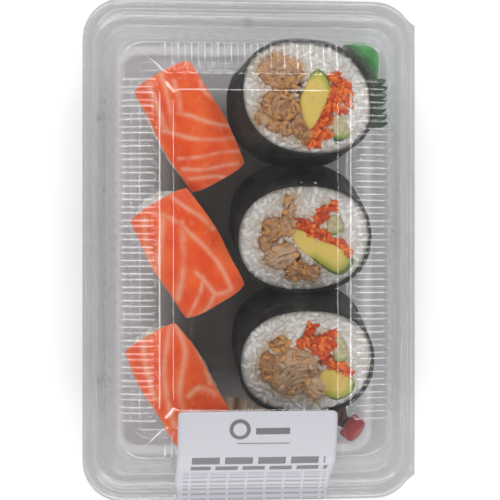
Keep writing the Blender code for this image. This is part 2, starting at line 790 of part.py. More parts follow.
def make_leaf(finish, collection):
    """A thin grass divider that leans on the wall behind the first roll, cut into teeth at its top."""
    columns = 2 * LEAF_TEETH
    rows = 3
    bm = bmesh.new()
    grid = []
    for column in range(columns + 1):
        along = column / columns
        y = LEAF_Y[0] + (LEAF_Y[1] - LEAF_Y[0]) * along
        top = LEAF_Z[column % 2]
        line = []
        for row in range(rows + 1):
            up = row / rows
            z = FLOOR_Z + 1.6 * MM + (top - FLOOR_Z) * up
            wave = 0.45 * MM * math.sin(along * 11.0) * up
            x = 50.4 * MM + 0.21 * z + wave - 1.1 * MM
            line.append(bm.verts.new((x, y, z)))
        grid.append(line)
    for a, b in zip(grid, grid[1:]):
        for row in range(rows):
            bm.faces.new((a[row], b[row], b[row + 1]))
            bm.faces.new((a[row], b[row + 1], a[row + 1]))
    obj = add_object("grass_leaf", mesh_from(bm, "leaf", outward=False), finish, collection)
    thin = obj.modifiers.new("Leaf", "SOLIDIFY")
    thin.thickness = LEAF_THICKNESS
    thin.offset = 0


def make_ginger(finish, collection):
    """Two folded slices of pickled ginger at the label end, between nigiri and roll."""
    steps = 12
    for name, centre, width, depth, height, turn, waves, swing in GINGER:
        bm = bmesh.new()
        lines = []
        for edge in (-0.5, 0.5):
            line = []
            for step in range(steps + 1):
                share = step / steps
                x = (share - 0.5) * width
                z = 2.4 + height * (0.35 + swing * math.sin(share * waves) + 0.3 * share)
                line.append(bm.verts.new(Vector((x, edge * depth, z)) * MM))
            lines.append(line)
        for i in range(steps):
            bm.faces.new((lines[0][i], lines[0][i + 1], lines[1][i + 1], lines[1][i]))
        obj = add_object(name, mesh_from(bm, name, outward=False), finish, collection)
        obj.location = Vector((*centre, 0.0)) * MM
        obj.rotation_euler = (0.0, 0.0, math.radians(turn))
        slice_thickness = obj.modifiers.new("Slice", "SOLIDIFY")
        slice_thickness.thickness = GINGER_THICKNESS
        slice_thickness.offset = 0


def turned(name, profile, segments, finish, collection, carrier):
    """A solid turned about Z: the profile runs down the outer side, top to bottom, from axis to axis."""
    bm = bmesh.new()
    verts = [bm.verts.new(Vector((radius, 0.0, z)) * MM) for radius, z in profile]
    for a, b in zip(verts, verts[1:]):
        bm.edges.new((a, b))
    obj = add_object(name, mesh_from(bm, name, outward=False), finish, collection, carrier)
    screw = obj.modifiers.new("Turn", "SCREW")
    screw.steps = segments
    screw.render_steps = segments
    screw.use_merge_vertices = True
    screw.merge_threshold = 1e-5
    return obj


def make_soy_bottle(finishes, collection):
    """A small sauce bottle that stands in the corner under the third roll, leaning outwards."""
    carrier = bpy.data.objects.new("soy_bottle", None)
    turn = Vector((0.0, 0.0, 1.0)).rotation_difference(Vector(SOY_UP).normalized())
    carrier.matrix_world = Matrix.Translation(Vector(SOY_FOOT) * MM) @ turn.to_matrix().to_4x4()
    collection.objects.link(carrier)
    turned("soy_body", SOY_BODY, 10, finishes["soy"], collection, carrier)
    turned("soy_cap", SOY_CAP, 14, finishes["cap"], collection, carrier)


def main():
    clear_scene()
    collection = bpy.data.collections.new("sushi_tray")
    bpy.context.scene.collection.children.link(collection)
    finishes = {
        "plastic": material("clear_plastic", (0.80, 0.82, 0.83), 0.12, 0.25),
        "paper": material("label_paper", (0.82, 0.82, 0.86), 0.55),
        "rice": material("rice", (0.78, 0.76, 0.70), 0.45),
        "salmon": material("salmon", (0.86, 0.22, 0.07), 0.35),
        "nori": material("nori", (0.02, 0.022, 0.018), 0.6),
        "chicken": material("chicken", (0.52, 0.32, 0.16), 0.5),
        "avocado": material("avocado", (0.58, 0.50, 0.18), 0.4),
        "carrot": material("carrot", (0.80, 0.18, 0.04), 0.4),
        "cucumber": material("cucumber", (0.50, 0.55, 0.24), 0.35),
        "wasabi": material("wasabi", (0.16, 0.38, 0.12), 0.35),
        "leaf": material("grass_leaf", (0.03, 0.20, 0.04), 0.4),
        "ginger": material("ginger", (0.70, 0.52, 0.34), 0.4),
        "soy": material("soy_sauce", (0.10, 0.035, 0.01), 0.15),
        "cap": material("red_cap", (0.55, 0.03, 0.04), 0.4),
    }
    make_tray(finishes["plastic"], collection)
    make_lid(finishes["plastic"], collection)
    make_label(finishes["paper"], collection)
    for number, spec in enumerate(ROLLS, 1):
        make_roll(number, spec, finishes, collection)
    for number, spec in enumerate(NIGIRI, 1):
        make_nigiri(number, spec, finishes, collection)
    make_wasabi(finishes["wasabi"], collection)
    make_leaf(finishes["leaf"], collection)
    make_ginger(finishes["ginger"], collection)
    make_soy_bottle(finishes, collection)


main()
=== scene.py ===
# %% [markdown]
# # Takeaway sushi in a clear hinged box
# Three salmon nigiri, three thick rolls and their condiments lie in a clear box, seen from above through
# its lid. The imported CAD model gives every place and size. This script dresses it: each piece is rebuilt
# with finer shape and its own finish, and rides on the body that carries it.

import json
import math
from functools import partialmethod

import bmesh
import bpy
import numpy as np
from mathutils import Matrix, Vector, noise

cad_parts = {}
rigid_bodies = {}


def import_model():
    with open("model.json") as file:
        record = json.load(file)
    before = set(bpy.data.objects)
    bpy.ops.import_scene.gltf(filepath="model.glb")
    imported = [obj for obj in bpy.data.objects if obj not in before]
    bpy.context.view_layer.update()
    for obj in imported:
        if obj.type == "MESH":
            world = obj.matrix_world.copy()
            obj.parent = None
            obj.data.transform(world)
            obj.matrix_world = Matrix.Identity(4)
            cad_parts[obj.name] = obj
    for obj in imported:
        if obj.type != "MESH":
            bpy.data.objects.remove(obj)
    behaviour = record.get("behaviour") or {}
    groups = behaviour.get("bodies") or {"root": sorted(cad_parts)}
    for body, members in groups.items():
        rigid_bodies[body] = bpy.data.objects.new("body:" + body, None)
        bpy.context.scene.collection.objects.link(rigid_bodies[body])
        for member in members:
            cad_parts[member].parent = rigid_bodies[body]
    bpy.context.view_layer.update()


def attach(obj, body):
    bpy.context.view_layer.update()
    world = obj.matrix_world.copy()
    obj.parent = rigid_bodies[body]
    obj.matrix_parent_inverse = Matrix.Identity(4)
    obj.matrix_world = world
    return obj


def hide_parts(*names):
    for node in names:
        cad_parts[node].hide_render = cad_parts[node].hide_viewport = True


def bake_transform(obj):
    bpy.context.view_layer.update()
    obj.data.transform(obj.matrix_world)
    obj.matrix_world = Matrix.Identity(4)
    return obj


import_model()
scene = bpy.context.scene
MM = 0.001

# %% [markdown]
# ## Building meshes
# Almost every piece here is rows of points joined into a skin: the nested outlines of a thermoformed
# sheet, the rings of a slice, the grid of a fish slab. One helper turns equal rows of points into a mesh,
# one runs a mesh through a modifier, and the last two hand a finished mesh over to a body of the model.


# %% Rows of points into a mesh
def skin(name, rows, around=True, caps=0):
    """Faces between equal rows of points. caps is how many ends are closed, the last row's first."""
    rows = np.asarray(rows, float)
    index = np.arange(rows.shape[0] * rows.shape[1]).reshape(rows.shape[:2])
    here, after = (index, np.roll(index, -1, axis=1)) if around else (index[:, :-1], index[:, 1:])
    faces = np.stack([here[:-1], after[:-1], after[1:], here[1:]], -1).reshape(-1, 4).tolist()
    if caps == 2:
        faces.append(index[0][::-1].tolist())
    if caps:
        faces.append(index[-1].tolist())
    mesh = bpy.data.meshes.new(name)
    mesh.from_pydata(rows.reshape(-1, 3).tolist(), [], faces)
    mesh.shade_smooth()
    return mesh


def paint(mesh, **numbers):
    """Keeps one number a point under each name, for a material or a node tree to read."""
    for name, values in numbers.items():
        mesh.attributes.new(name, "FLOAT", "POINT").data.foreach_set("value", np.ravel(values))


def places_of(mesh):
    """The x, y and z of a mesh's points, in millimetres."""
    flat = np.empty(len(mesh.vertices) * 3)
    mesh.vertices.foreach_get("co", flat)
    return (flat.reshape(-1, 3) / MM).T


def merged(meshes, weld=False):
    """Several meshes as one. weld also merges doubled points and turns every face outwards."""
    bm = bmesh.new()
    for mesh in meshes:
        bm.from_mesh(mesh)
        bpy.data.meshes.remove(mesh)
    if weld:
        bmesh.ops.remove_doubles(bm, verts=bm.verts, dist=1e-6)
        bmesh.ops.recalc_face_normals(bm, faces=bm.faces)
    mesh = bpy.data.meshes.new("merged")
    bm.to_mesh(mesh)
    bm.free()
    mesh.shade_smooth()
    return mesh


# %% Modifiers, and handing a mesh over
def loose(name, data):
    """An object in the scene that isn't a piece yet."""
    obj = bpy.data.objects.new(name, data)
    scene.collection.objects.link(obj)
    return obj


def modified(mesh, kind, inputs=None, **settings):
    """The plain mesh that a modifier makes. inputs are those of a node group, by identifier."""
    draft = loose("draft", mesh)
    modifier = draft.modifiers.new(kind, kind)
    for key, value in settings.items():
        setattr(modifier, key, value)
    for key, value in (inputs or {}).items():
        modifier[key] = value
    graph = bpy.context.evaluated_depsgraph_get()
    made = bpy.data.meshes.new_from_object(draft.evaluated_get(graph))
    bpy.data.objects.remove(draft)
    made.shade_smooth()
    return made


def piece(name, mesh, look, body, slot, *nodes):
    """A finished piece: it gets its finish, rides on a body and stands for CAD nodes."""
    obj = loose(name, mesh)
    mesh.materials.clear()
    mesh.materials.append(look)
    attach(obj, body)
    if nodes:
        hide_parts(*nodes)
    print(name, len(mesh.polygons), "faces on", body)


def food(owner, suffix, mesh, look, slot):
    """A piece in the tray, named after its owner. It stands for the owner's node of that slot."""
    piece(f"{owner}_{suffix}", mesh, look, "tray", slot, f"{owner}_{slot}")


# %% [markdown]
# ## Writing node trees as sums
# Node trees read best as arithmetic. A Wire wraps one socket, and its operators add the Math nodes, so
# that `1 - mask` works. Every other node comes from one method, which takes the node's type, its
# settings and what its sockets get.


# %% Socket expressions
class Wire:
    """One output socket that can be used in sums."""

    def __init__(self, tree, socket):
        self.tree = tree
        self.socket = socket

    def math(self, operation, *others):
        return self.tree.math(operation, self, *others)

    def __rsub__(self, other):
        return self.tree.math("SUBTRACT", other, self)

    def between(self, low, high):
        """0 below low, 1 above high and smooth in between; low may be the larger."""
        sockets = {0: self, 1: low, 2: high}
        return self.tree.add("ShaderNodeMapRange", {"interpolation_type": "SMOOTHSTEP"}, sockets)

    __add__ = __radd__ = partialmethod(math, "ADD")
    __mul__ = __rmul__ = partialmethod(math, "MULTIPLY")
    __sub__ = partialmethod(math, "SUBTRACT")
    __truediv__ = partialmethod(math, "DIVIDE")
    __pow__ = partialmethod(math, "POWER")


class Tree:
    """A node tree being written."""

    def __init__(self, tree):
        self.tree = tree

    def fill(self, node, sockets):
        """Links wires to a node's sockets and sets the other values."""
        for key, value in sockets.items():
            if isinstance(value, Wire):
                self.tree.links.new(value.socket, node.inputs[key])
            elif node.inputs[key].type == "RGBA":
                node.inputs[key].default_value = (*value, 1.0)
            else:
                node.inputs[key].default_value = value
        return node

    def add(self, kind, settings=None, sockets=None, output=0):
        node = self.tree.nodes.new(kind)
        for key, value in (settings or {}).items():
            setattr(node, key, value)
        return Wire(self, self.fill(node, sockets or {}).outputs[output])

    def math(self, operation, *values):
        return self.add("ShaderNodeMath", {"operation": operation}, dict(enumerate(values)))

    def vector(self, x, y, z):
        return self.add("ShaderNodeCombineXYZ", {}, {0: x, 1: y, 2: z})

    def mix(self, first, second, share):
        """Two colours, the second one by its share."""
        return self.add("ShaderNodeMix", {"data_type": "RGBA"}, {0: share, 6: first, 7: second}, 2)

    def place(self):
        return self.add("ShaderNodeTexCoord", output=3)

    def painted(self, name):
        return self.add("ShaderNodeAttribute", {"attribute_name": name}, output=2)

    def speckle(self, size, detail=2.0, stretch=None, rough=0.5, bend=0.0):
        """Noise in the object's own space, its features about size metres across."""
        where = self.place()
        if stretch:
            where = self.add("ShaderNodeMapping", {}, {"Vector": where, "Scale": stretch})
        sockets = {"Vector": where, "Scale": 1.0 / size, "Detail": detail, "Roughness": rough}
        return self.add("ShaderNodeTexNoise", {}, {**sockets, "Distortion": bend})

    def bump(self, height, depth):
        return self.add("ShaderNodeBump", {}, {"Height": height, "Strength": 1.0, "Distance": depth})


def finish(name, recipe, soft=0.0, shine=0.5):
    """A material around one Principled shader. recipe(tree) returns its varying sockets, soft is how much
    light enters the surface, and shine is its specular level."""
    made = bpy.data.materials.new(name)
    made.use_nodes = True
    tree = Tree(made.node_tree)
    shader = made.node_tree.nodes["Principled BSDF"]
    tree.fill(shader, {"Subsurface Radius": (1.0, 0.8, 0.65), "Subsurface Scale": 0.002})
    tree.fill(shader, {"Subsurface Weight": soft, "Specular IOR Level": shine})
    tree.fill(shader, recipe(tree))
    return made


# %% [markdown]
# ## Camera, floor and light
# The photograph looks straight down from about six degrees to one side, with a long lens. Two long strips
# of light, beyond either end of the box, draw the pair of thin bright lines on every flute. Weak strips
# higher up draw the panel's edges, and a sky that is dark overhead keeps glare off the flat panel.

# %% Camera
CAMERA_TARGET = Vector((0.0, 0.0, 0.024))
CAMERA_REACH = 0.65
CAMERA_TILT = math.radians(6.0)

lens = bpy.data.cameras.new("Camera")
lens.lens = 120.0
lens.clip_start = 0.01
camera = loose("Camera", lens)
outwards = Vector((-math.sin(CAMERA_TILT), 0.0, math.cos(CAMERA_TILT)))
across = Vector((0.0, 1.0, 0.0)).cross(outwards)
turn = Matrix((across, Vector((0.0, 1.0, 0.0)), outwards)).transposed()
camera.matrix_world = Matrix.Translation(CAMERA_TARGET + outwards * CAMERA_REACH) @ turn.to_4x4()
scene.camera = camera
scene.view_settings.view_transform = "Standard"
scene.cycles.transparent_max_bounces = 32
scene.cycles.use_denoising = True
print("camera at", [round(v, 3) for v in camera.location])

# %% Floor and lights
UNDER = -0.05 * MM
floor_finish = finish("floor_paper", lambda tree: {"Base Color": (0.93, 0.93, 0.93), "Roughness": 0.9})
floor_mesh = skin("floor", [[(x, y, UNDER) for x in (-2, 2)] for y in (-2, 2)], around=False)
floor_mesh.materials.append(floor_finish)
floor = loose("floor", floor_mesh)

# Tilt from straight up and heading in degrees, width, height and brightness: long strips on a dome.
LAMPS = {
    "strip_back": (62.0, 90.0, 1.9, 0.20, 6.0),
    "strip_front": (62.0, -90.0, 1.9, 0.20, 6.0),
    "strip_left": (26.0, 180.0, 0.36, 0.03, 12.0),
    "strip_left_top": (9.0, 180.0, 0.36, 0.03, 12.0),
    "strip_right_top": (21.0, 0.0, 0.36, 0.03, 12.0),
    "strip_right": (38.0, 0.0, 0.36, 0.03, 12.0),
    "strip_back_top": (34.0, 90.0, 0.45, 0.03, 12.0),
    "strip_front_top": (34.0, -90.0, 0.45, 0.03, 12.0),
    "strip_back_high": (20.0, 90.0, 0.45, 0.03, 12.0),
    "strip_front_high": (20.0, -90.0, 0.45, 0.03, 12.0),
}
LAMP_REACH = 1.0
for name, (tilt, heading, width, height, brightness) in LAMPS.items():
    light = bpy.data.lights.new(name, "AREA")
    light.shape = "RECTANGLE"
    light.size, light.size_y = width, height
    light.energy = brightness * math.pi * width * height
    lamp = loose(name, light)
    tilt, heading = math.radians(tilt), math.radians(heading)
    flat = Vector((math.cos(heading), math.sin(heading), 0.0))
    away = flat * math.sin(tilt) + Vector((0.0, 0.0, math.cos(tilt)))
    side = Vector((0.0, 0.0, 1.0)).cross(flat)
    turn = Matrix((side, away.cross(side), away)).transposed().to_4x4()
    lamp.matrix_world = Matrix.Translation(CAMERA_TARGET + away * LAMP_REACH) @ turn

world = bpy.data.worlds.new("Studio")
world.use_nodes = True
sky = Tree(world.node_tree)
up = sky.add("ShaderNodeSeparateXYZ", {}, {0: sky.add("ShaderNodeTexCoord")}, 2)
overhead = up.between(0.97, 0.70) * 0.62 + 0.12
sky.fill(world.node_tree.nodes["Background"], {"Strength": overhead, "Color": (1.0, 1.0, 1.0)})
scene.world = world
print(len(LAMPS), "strips under a pale sky that is dark overhead")

# %% [markdown]
# ## Clear plastic
# The box is thin clear sheet. Glass with refraction would cost a lot of light paths and gain nothing on a
# wall half a millimetre thick. So the sheet is mostly a see-through film with a trace of grey, a little
# milky haze, and a mirror gloss that grows towards glancing angles. The flanks of the flutes, where the
# sheet was stretched, gleam more than the rest.
# A darker film in the middle of the tray's floor is painted shade between the foods.


# %% The sheet's finish
FLUTE_PITCH = 5.04 * MM
FLUTE_HALF = 1.75 * MM


def clear_plastic(name, tint, deep_tint, haze):
    """The third colour is the film's colour in the middle of the tray's floor, darker there as painted shade
    between the foods.
    """
    made = bpy.data.materials.new(name)
    made.use_nodes = True
    nodes = made.node_tree.nodes
    nodes.remove(nodes["Principled BSDF"])
    tree = Tree(made.node_tree)
    spot = tree.place()
    x, y, z = (tree.add("ShaderNodeSeparateXYZ", {}, {0: spot}, axis) for axis in range(3))
    # Painted shade: the middle of the tray's floor gets a darker film, where the foods shade it.
    middle = (x + 0.006).math("ABSOLUTE").between(0.034, 0.010) * y.math("ABSOLUTE").between(0.066, 0.040)
    floor_tint = tree.mix((0.915, 0.915, 0.918), deep_tint, middle)
    film_tint = tree.mix(tint, floor_tint, z.between(0.006, 0.003))
    film = tree.add("ShaderNodeBsdfTransparent", {}, {"Color": film_tint})
    milk = tree.add("ShaderNodeBsdfPrincipled", {}, {"Base Color": (0.72, 0.72, 0.73), "Roughness": 0.4})
    gloss = tree.add("ShaderNodeBsdfGlossy", {}, {"Color": (1.0, 1.0, 1.0), "Roughness": 0.07})
    glance = tree.add("ShaderNodeLayerWeight", {}, {"Blend": 0.5}, 1)
    clouded = tree.speckle(6 * MM, 3.0) * 0.014 + glance**3.0 * haze
    body = tree.add("ShaderNodeMixShader", {}, {0: clouded, 1: film, 2: milk})
    aside = ((tree.painted("along") / FLUTE_PITCH).math("FRACT") - 0.5) * FLUTE_PITCH
    rim = (aside**2.0 + tree.painted("beyond") ** 2.0).math("SQRT") / FLUTE_HALF
    flank = rim.between(0.60, 0.72) * rim.between(0.98, 0.86)
    mirror = glance**4.0 * 0.5 + flank * 0.035 + 0.032
    top = tree.add("ShaderNodeMixShader", {}, {0: mirror, 1: body, 2: gloss})
    tree.fill(nodes["Material Output"], {"Surface": top})
    return made


# The third colour of each is its floor's middle; the tray's darker one is painted shade.
lid_plastic = clear_plastic("clear_lid", (0.92, 0.92, 0.925), (0.92, 0.92, 0.925), 0.16)
tray_plastic = clear_plastic("clear_tray", (0.79, 0.79, 0.795), (0.66, 0.645, 0.63), 0.16)

# %% [markdown]
# ## The box's nested outlines
# A thermoformed box is a stack of rounded rectangles: flange, bead, wall, shoulder, panel. Each outline is
# sampled at the same columns, so the rows line up and the flutes can be pressed straight across them.

# %% Sizes of the box
SHEET = 0.5 * MM
HINGE_Z = 24.0 * MM
FLUTE_DEPTH = 0.68 * MM
FLUTED = (65.1 * MM, 34.9 * MM)
EAR_Y = 88.5 * MM
EAR_X = 65.0 * MM
BEAD_RISE = 1.25 * MM
CORNER_STEPS = 18
FLUTE_SHARES = (-1, -0.92, -0.76, -0.45, 0, 0.45, 0.76, 0.92, 1)
END_SHARES = (0.0, 0.08, 0.25, 0.5, 0.75, 1.0)
EAR_WIDTH = 8 * MM
GUARD = 0.15 * MM
CLOSEST = 0.06 * MM
FARTHEST = 3.2 * MM


def walk(points):
    """Length walked along a path up to each of its points."""
    return np.concatenate([[0.0], np.cumsum(np.hypot(*np.diff(points, axis=0).T))])


def bend(start, corner, end, ts):
    """Points on the curve that rounds a corner between start and end."""
    return [(1 - t) ** 2 * start + 2 * t * (1 - t) * corner + t**2 * end for t in ts]


def inset(along, straight, radius):
    """How far a rounded corner has drawn in where the side has run past its straight part."""
    past = min(max(abs(along) - straight, 0.0), radius)
    return radius - math.sqrt(radius**2 - past**2)


def corner_points(half, radius, reach):
    """Points of the +X +Y corner between the last fluted column of either side."""
    start = (half[0] - inset(reach[0], half[1] - radius, radius), reach[0])
    end = (reach[1], half[1] - inset(reach[1], half[0] - radius, radius))
    first = math.asin(min(max((reach[0] - half[1] + radius) / radius, 0.0), 1.0))
    last = math.pi / 2 - math.asin(min(max((reach[1] - half[0] + radius) / radius, 0.0), 1.0))
    runs = [start]
    for step in range(13):
        angle = first + (last - first) * step / 12
        centre = (half[0] - radius, half[1] - radius)
        runs.append((centre[0] + radius * math.cos(angle), centre[1] + radius * math.sin(angle)))
    runs = np.array(runs + [end])
    lengths = walk(runs)
    wanted = np.linspace(0.0, lengths[-1], CORNER_STEPS + 2)[1:-1]
    return np.stack([np.interp(wanted, lengths, runs[:, 0]), np.interp(wanted, lengths, runs[:, 1])], 1)


def flute_columns(length):
    """Places along a side, closest together where the flutes bend, symmetric about its middle."""
    half = []
    for number in range(int(length / FLUTE_PITCH + 0.2)):
        centre = (number + 0.5) * FLUTE_PITCH
        half += [centre + share * FLUTE_HALF for share in FLUTE_SHARES]
        half.append((number + 1.0) * FLUTE_PITCH)
    half[-1] = length
    return np.array([-place for place in half[::-1]] + [0.0] + half)


# %% One outline
def outline(hx, hy, radius, eared=False):
    """One rounded rectangle, anticlockwise from the front end of the +X side, and its flute columns."""
    reach = (min(FLUTED[0], hy - 0.5 * radius), min(FLUTED[1], hx - 0.5 * radius))
    ys = flute_columns(FLUTED[0]) / FLUTED[0]
    xs = flute_columns(FLUTED[1])[::-1] / FLUTED[1]
    side_x = [hx - inset(y * reach[0], hy - radius, radius) for y in ys]
    end_y = [hy - inset(x * reach[1], hx - radius, radius) for x in xs]
    corner = corner_points((hx, hy), radius, reach)
    side = np.stack([side_x, ys * reach[0]], 1)
    end = np.stack([xs * reach[1], end_y], 1)
    hinge_corner = corner.copy()
    if eared:
        strip = (hinge_corner[:, 1] < EAR_Y) & (hinge_corner[:, 0] > hx - EAR_WIDTH)
        hinge_corner[strip, 0] = hx
    flip_x, flip_y = np.array([-1.0, 1.0]), np.array([1.0, -1.0])
    back = [side, hinge_corner, end, (corner * flip_x)[::-1]]
    front = [side[::-1] * flip_x, corner * flip_x * flip_y, end[::-1] * flip_y]
    front.append((hinge_corner * flip_y)[::-1])
    still = np.full(len(corner), np.nan)
    half_way = [ys * FLUTED[0], still, xs * FLUTED[1], still]
    return np.concatenate(back + front), np.concatenate(half_way * 2)


# %% Down the profile
def bend_rounding(stations, ts=(0, 1), guarded=False):
    """Rounds each corner of a profile. A station is (half x, half y, radius, z, rounding), in millimetres.

    Where it is guarded, a row just past either end of a rounding keeps its shading off the flat parts.
    """
    stations = np.array(stations) * MM
    rows = [stations[0][:4]]
    for before, point, after in zip(stations, stations[1:], stations[2:]):
        here = point[:4]
        ends, guards = [], []
        for other in (before, after):
            away = other[:4] - here
            length = math.hypot(*away[[0, 3]])
            reach = min(0.45, point[4] / length)
            ends.append(here + away * reach)
            guards.append(here + away * min(0.49, reach + GUARD / length))
        rows += guards[:1] * guarded
        rows += bend(ends[0], here, ends[1], ts)
        rows += guards[1:] * guarded
    return np.array([*rows, stations[-1][:4]])


def profile_rows(table, fluted):
    """Rows down a profile, closest together where the flutes end, and how far each is past those ends.

    fluted(half x, z) tells where the flutes run.
    """
    path = walk(table[:, [0, 3]])
    places = np.linspace(0, path[-1], 4000)
    columns = [np.interp(places, path, table[:, k]) for k in (0, 3)]
    run = [place for place, x, z in zip(places, *columns) if fluted(x, z)]
    marks = [run[0] + share * FLUTE_HALF for share in END_SHARES]
    marks += [run[-1] - share * FLUTE_HALF for share in END_SHARES]
    marks = sorted([*path, *marks])
    wanted = [marks[0]]
    for mark in marks[1:]:
        if mark - wanted[-1] < CLOSEST:
            continue
        count = math.ceil((mark - wanted[-1]) / FARTHEST)
        wanted += [wanted[-1] + (mark - wanted[-1]) * (step + 1) / count for step in range(count)]
    rows = np.stack([np.interp(wanted, path, table[:, k]) for k in range(4)], 1)
    past = []
    for axis in (0, 1):
        here = walk(rows[:, [axis, 3]])
        low, high = np.interp([run[0] + FLUTE_HALF, run[-1] - FLUTE_HALF], wanted, here)
        past.append(np.maximum(np.maximum(low - here, here - high), 0.0))
    return rows, past


# %% [markdown]
# ## Pressing the flutes
# The flutes are one rule repeated eighty times on each half: a round-ended swelling every 5.04 mm. A
# Geometry Nodes tree works out, for every point of the sheet, how far it is from the nearest flute's
# middle line, and moves it along the normal. Modelling one flute and copying it would leave seams.


# %% Node groups
def open_group(name, kinds):
    """A new Geometry Nodes tree, the identifiers of its named inputs, and their wires."""
    group = bpy.data.node_groups.new(name, "GeometryNodeTree")
    group.interface.new_socket(name="Geometry", in_out="OUTPUT", socket_type="NodeSocketGeometry")
    ids = {}
    for key, kind in {"Geometry": "Geometry", **kinds, "Material": "Material"}.items():
        made = group.interface.new_socket(name=key, in_out="INPUT", socket_type="NodeSocket" + kind)
        ids[key] = made.identifier
    tree = Tree(group)
    given = group.nodes.new("NodeGroupInput")
    return tree, ids, {key: Wire(tree, given.outputs[key]) for key in ids}


def close_group(tree, geometry, take):
    """Makes copies real, sets the material and leads the result out of the group."""
    whole = tree.add("GeometryNodeRealizeInstances", {}, {"Geometry": geometry})
    done = tree.add("GeometryNodeSetMaterial", {}, {"Geometry": whole, "Material": take["Material"]})
    tree.fill(tree.tree.nodes.new("NodeGroupOutput"), {0: done})


def through(mesh, tree, ids, values):
    """A mesh run through a node group, whose inputs get values by their names."""
    inputs = {ids[key]: value for key, value in values.items()}
    return modified(mesh, "NODES", inputs, node_group=tree.tree)


# %% The flute tree
def flute_tree():
    tree, ids, take = open_group("press_flutes", {"Pitch": "Float", "Half Width": "Float", "Depth": "Float"})
    number = {"data_type": "FLOAT"}
    along = tree.add("GeometryNodeInputNamedAttribute", number, {"Name": "along"})
    beyond = tree.add("GeometryNodeInputNamedAttribute", number, {"Name": "beyond"})
    aside = ((along / take["Pitch"]).math("FRACT") - 0.5) * take["Pitch"]
    distance = (aside * aside + beyond * beyond).math("SQRT") / take["Half Width"]
    height = (1.0 - distance**2.0).math("MAXIMUM", 0.0) * take["Depth"]
    normal = tree.add("GeometryNodeInputNormal")
    push = tree.add("ShaderNodeVectorMath", {"operation": "SCALE"}, {0: normal, "Scale": height})
    pressed = tree.add("GeometryNodeSetPosition", {}, {"Geometry": take["Geometry"], "Offset": push})
    close_group(tree, pressed, take)
    return tree, ids


press_flutes = flute_tree()


def sheet_piece(name, table, fluted, depth, side, look, node):
    """One half of the box: its rows, the flutes pressed in, and the sheet's thickness."""
    points, alongs, beyonds = [], [], []
    rows, past = profile_rows(table, fluted)
    for index, (hx, hy, radius, z) in enumerate(rows):
        flat, along = outline(hx, hy, radius, eared=index == 0)
        points.append(np.column_stack([flat, np.full(len(flat), z)]))
        on_side = np.abs(flat[:, 0]) - hx > np.abs(flat[:, 1]) - hy
        reach = np.where(on_side, past[0][index], past[1][index])
        beyonds.append(np.where(np.isnan(along), 1.0, reach))
        alongs.append(np.nan_to_num(along))
    mesh = skin(name, points, caps=1)
    paint(mesh, along=alongs, beyond=beyonds)
    sizes = {"Pitch": FLUTE_PITCH, "Half Width": FLUTE_HALF, "Depth": depth, "Material": look}
    mesh = modified(through(mesh, *press_flutes, sizes), "SOLIDIFY", thickness=SHEET, offset=side)
    piece(name, mesh, look, node, "clear_plastic", node)


# %% The tray
TRAY_STATIONS = (
    (65.0, 97.5, 16.0, 23.85, 0.0),
    (60.3, 90.9, 11.4, 23.85, 0.5),
    (59.1, 89.7, 10.5, 25.1, 0.5),
    (57.0, 87.2, 9.5, 25.1, 0.7),
    (50.6, 80.6, 8.5, 2.2, 0.9),
    (48.8, 78.8, 7.0, 0.5, 0.7),
    (44.6, 74.6, 6.0, 0.5, 0.3),
    (43.8, 73.8, 5.5, 1.0, 0.3),
    (21.4, 50.7, 3.6, 1.0, 0.3),
    (20.8, 50.1, 3.2, 0.75, 0.3),
    (13.2, 42.5, 3.0, 0.75, 0.3),
    (12.6, 41.9, 2.6, 0.5, 0.3),
    (8.0, 36.0, 2.0, 0.5, 0.0),
)


def tray_fluted(x, z):
    return 4.6 * MM < z < 21.4 * MM


tray_table = bend_rounding(TRAY_STATIONS)
sheet_piece("tray_sheet", tray_table, tray_fluted, -FLUTE_DEPTH, -1, tray_plastic, "tray")

# %% The lid
LID_STATIONS = (
    (65.0, 97.5, 16.0, 24.15, 0.0),
    (60.9, 91.5, 11.7, 24.15, 0.5),
    (59.9, 90.4, 11.0, 25.4, 0.5),
    (56.0, 86.0, 9.0, 25.4, 0.9),
    (51.2, 79.5, 9.5, 39.95, 1.3),
    (36.5, 66.9, 8.0, 44.45, 0.8),
    (31.3, 60.0, 5.0, 45.55, 0.8),
    (26.0, 54.0, 4.0, 45.55, 0.0),
)


def lid_fluted(x, z):
    return z > 27.4 * MM and x > 37.3 * MM


lid_table = bend_rounding(LID_STATIONS, (0, 0.5, 1), guarded=True)
sheet_piece("lid_sheet", lid_table, lid_fluted, FLUTE_DEPTH, 1, lid_plastic, "lid")

# %% [markdown]
# ## Hinge and snap studs
# The two halves are one sheet, folded along the +X side. The fold is its own small strip that joins tray to
# lid. Three round studs snap the bead shut.

# %% The fold
FOLD_RADIUS = 0.4 * MM
fold_rows = []
for step in range(9):
    angle = -math.pi / 2 + math.pi * step / 8
    x, z = EAR_X + FOLD_RADIUS * math.cos(angle), HINGE_Z + FOLD_RADIUS * math.sin(angle)
    fold_rows.append([(x, y, z) for y in np.linspace(-EAR_Y, EAR_Y, 41)])
fold_mesh = skin("hinge_fold", fold_rows, around=False)
fold = loose("hinge_fold", modified(fold_mesh, "SOLIDIFY", thickness=0.35 * MM, offset=-1))
fold.data.materials.append(lid_plastic)
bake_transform(fold)

# %% The studs
STUDS = ((-58.0, 51.0), (-58.0, -50.5), (-1.0, 88.6))
STUD_PROFILE = ((1.75, 0.0), (1.7, 0.45), (1.3, 0.8), (0.9, 0.85), (0.75, 0.6), (0.3, 0.5))
STUD_Z = 25.85
studs = []
angles = np.linspace(0, 2 * math.pi, 24, endpoint=False)
for x, y in STUDS:
    rings = []
    for radius, height in STUD_PROFILE:
        rings.append([(x + radius * math.cos(a), y + radius * math.sin(a), STUD_Z + height) for a in angles])
    studs.append(skin("stud", np.array(rings) * MM, caps=2))
piece("snap_studs", merged(studs), lid_plastic, "lid", "clear_plastic")

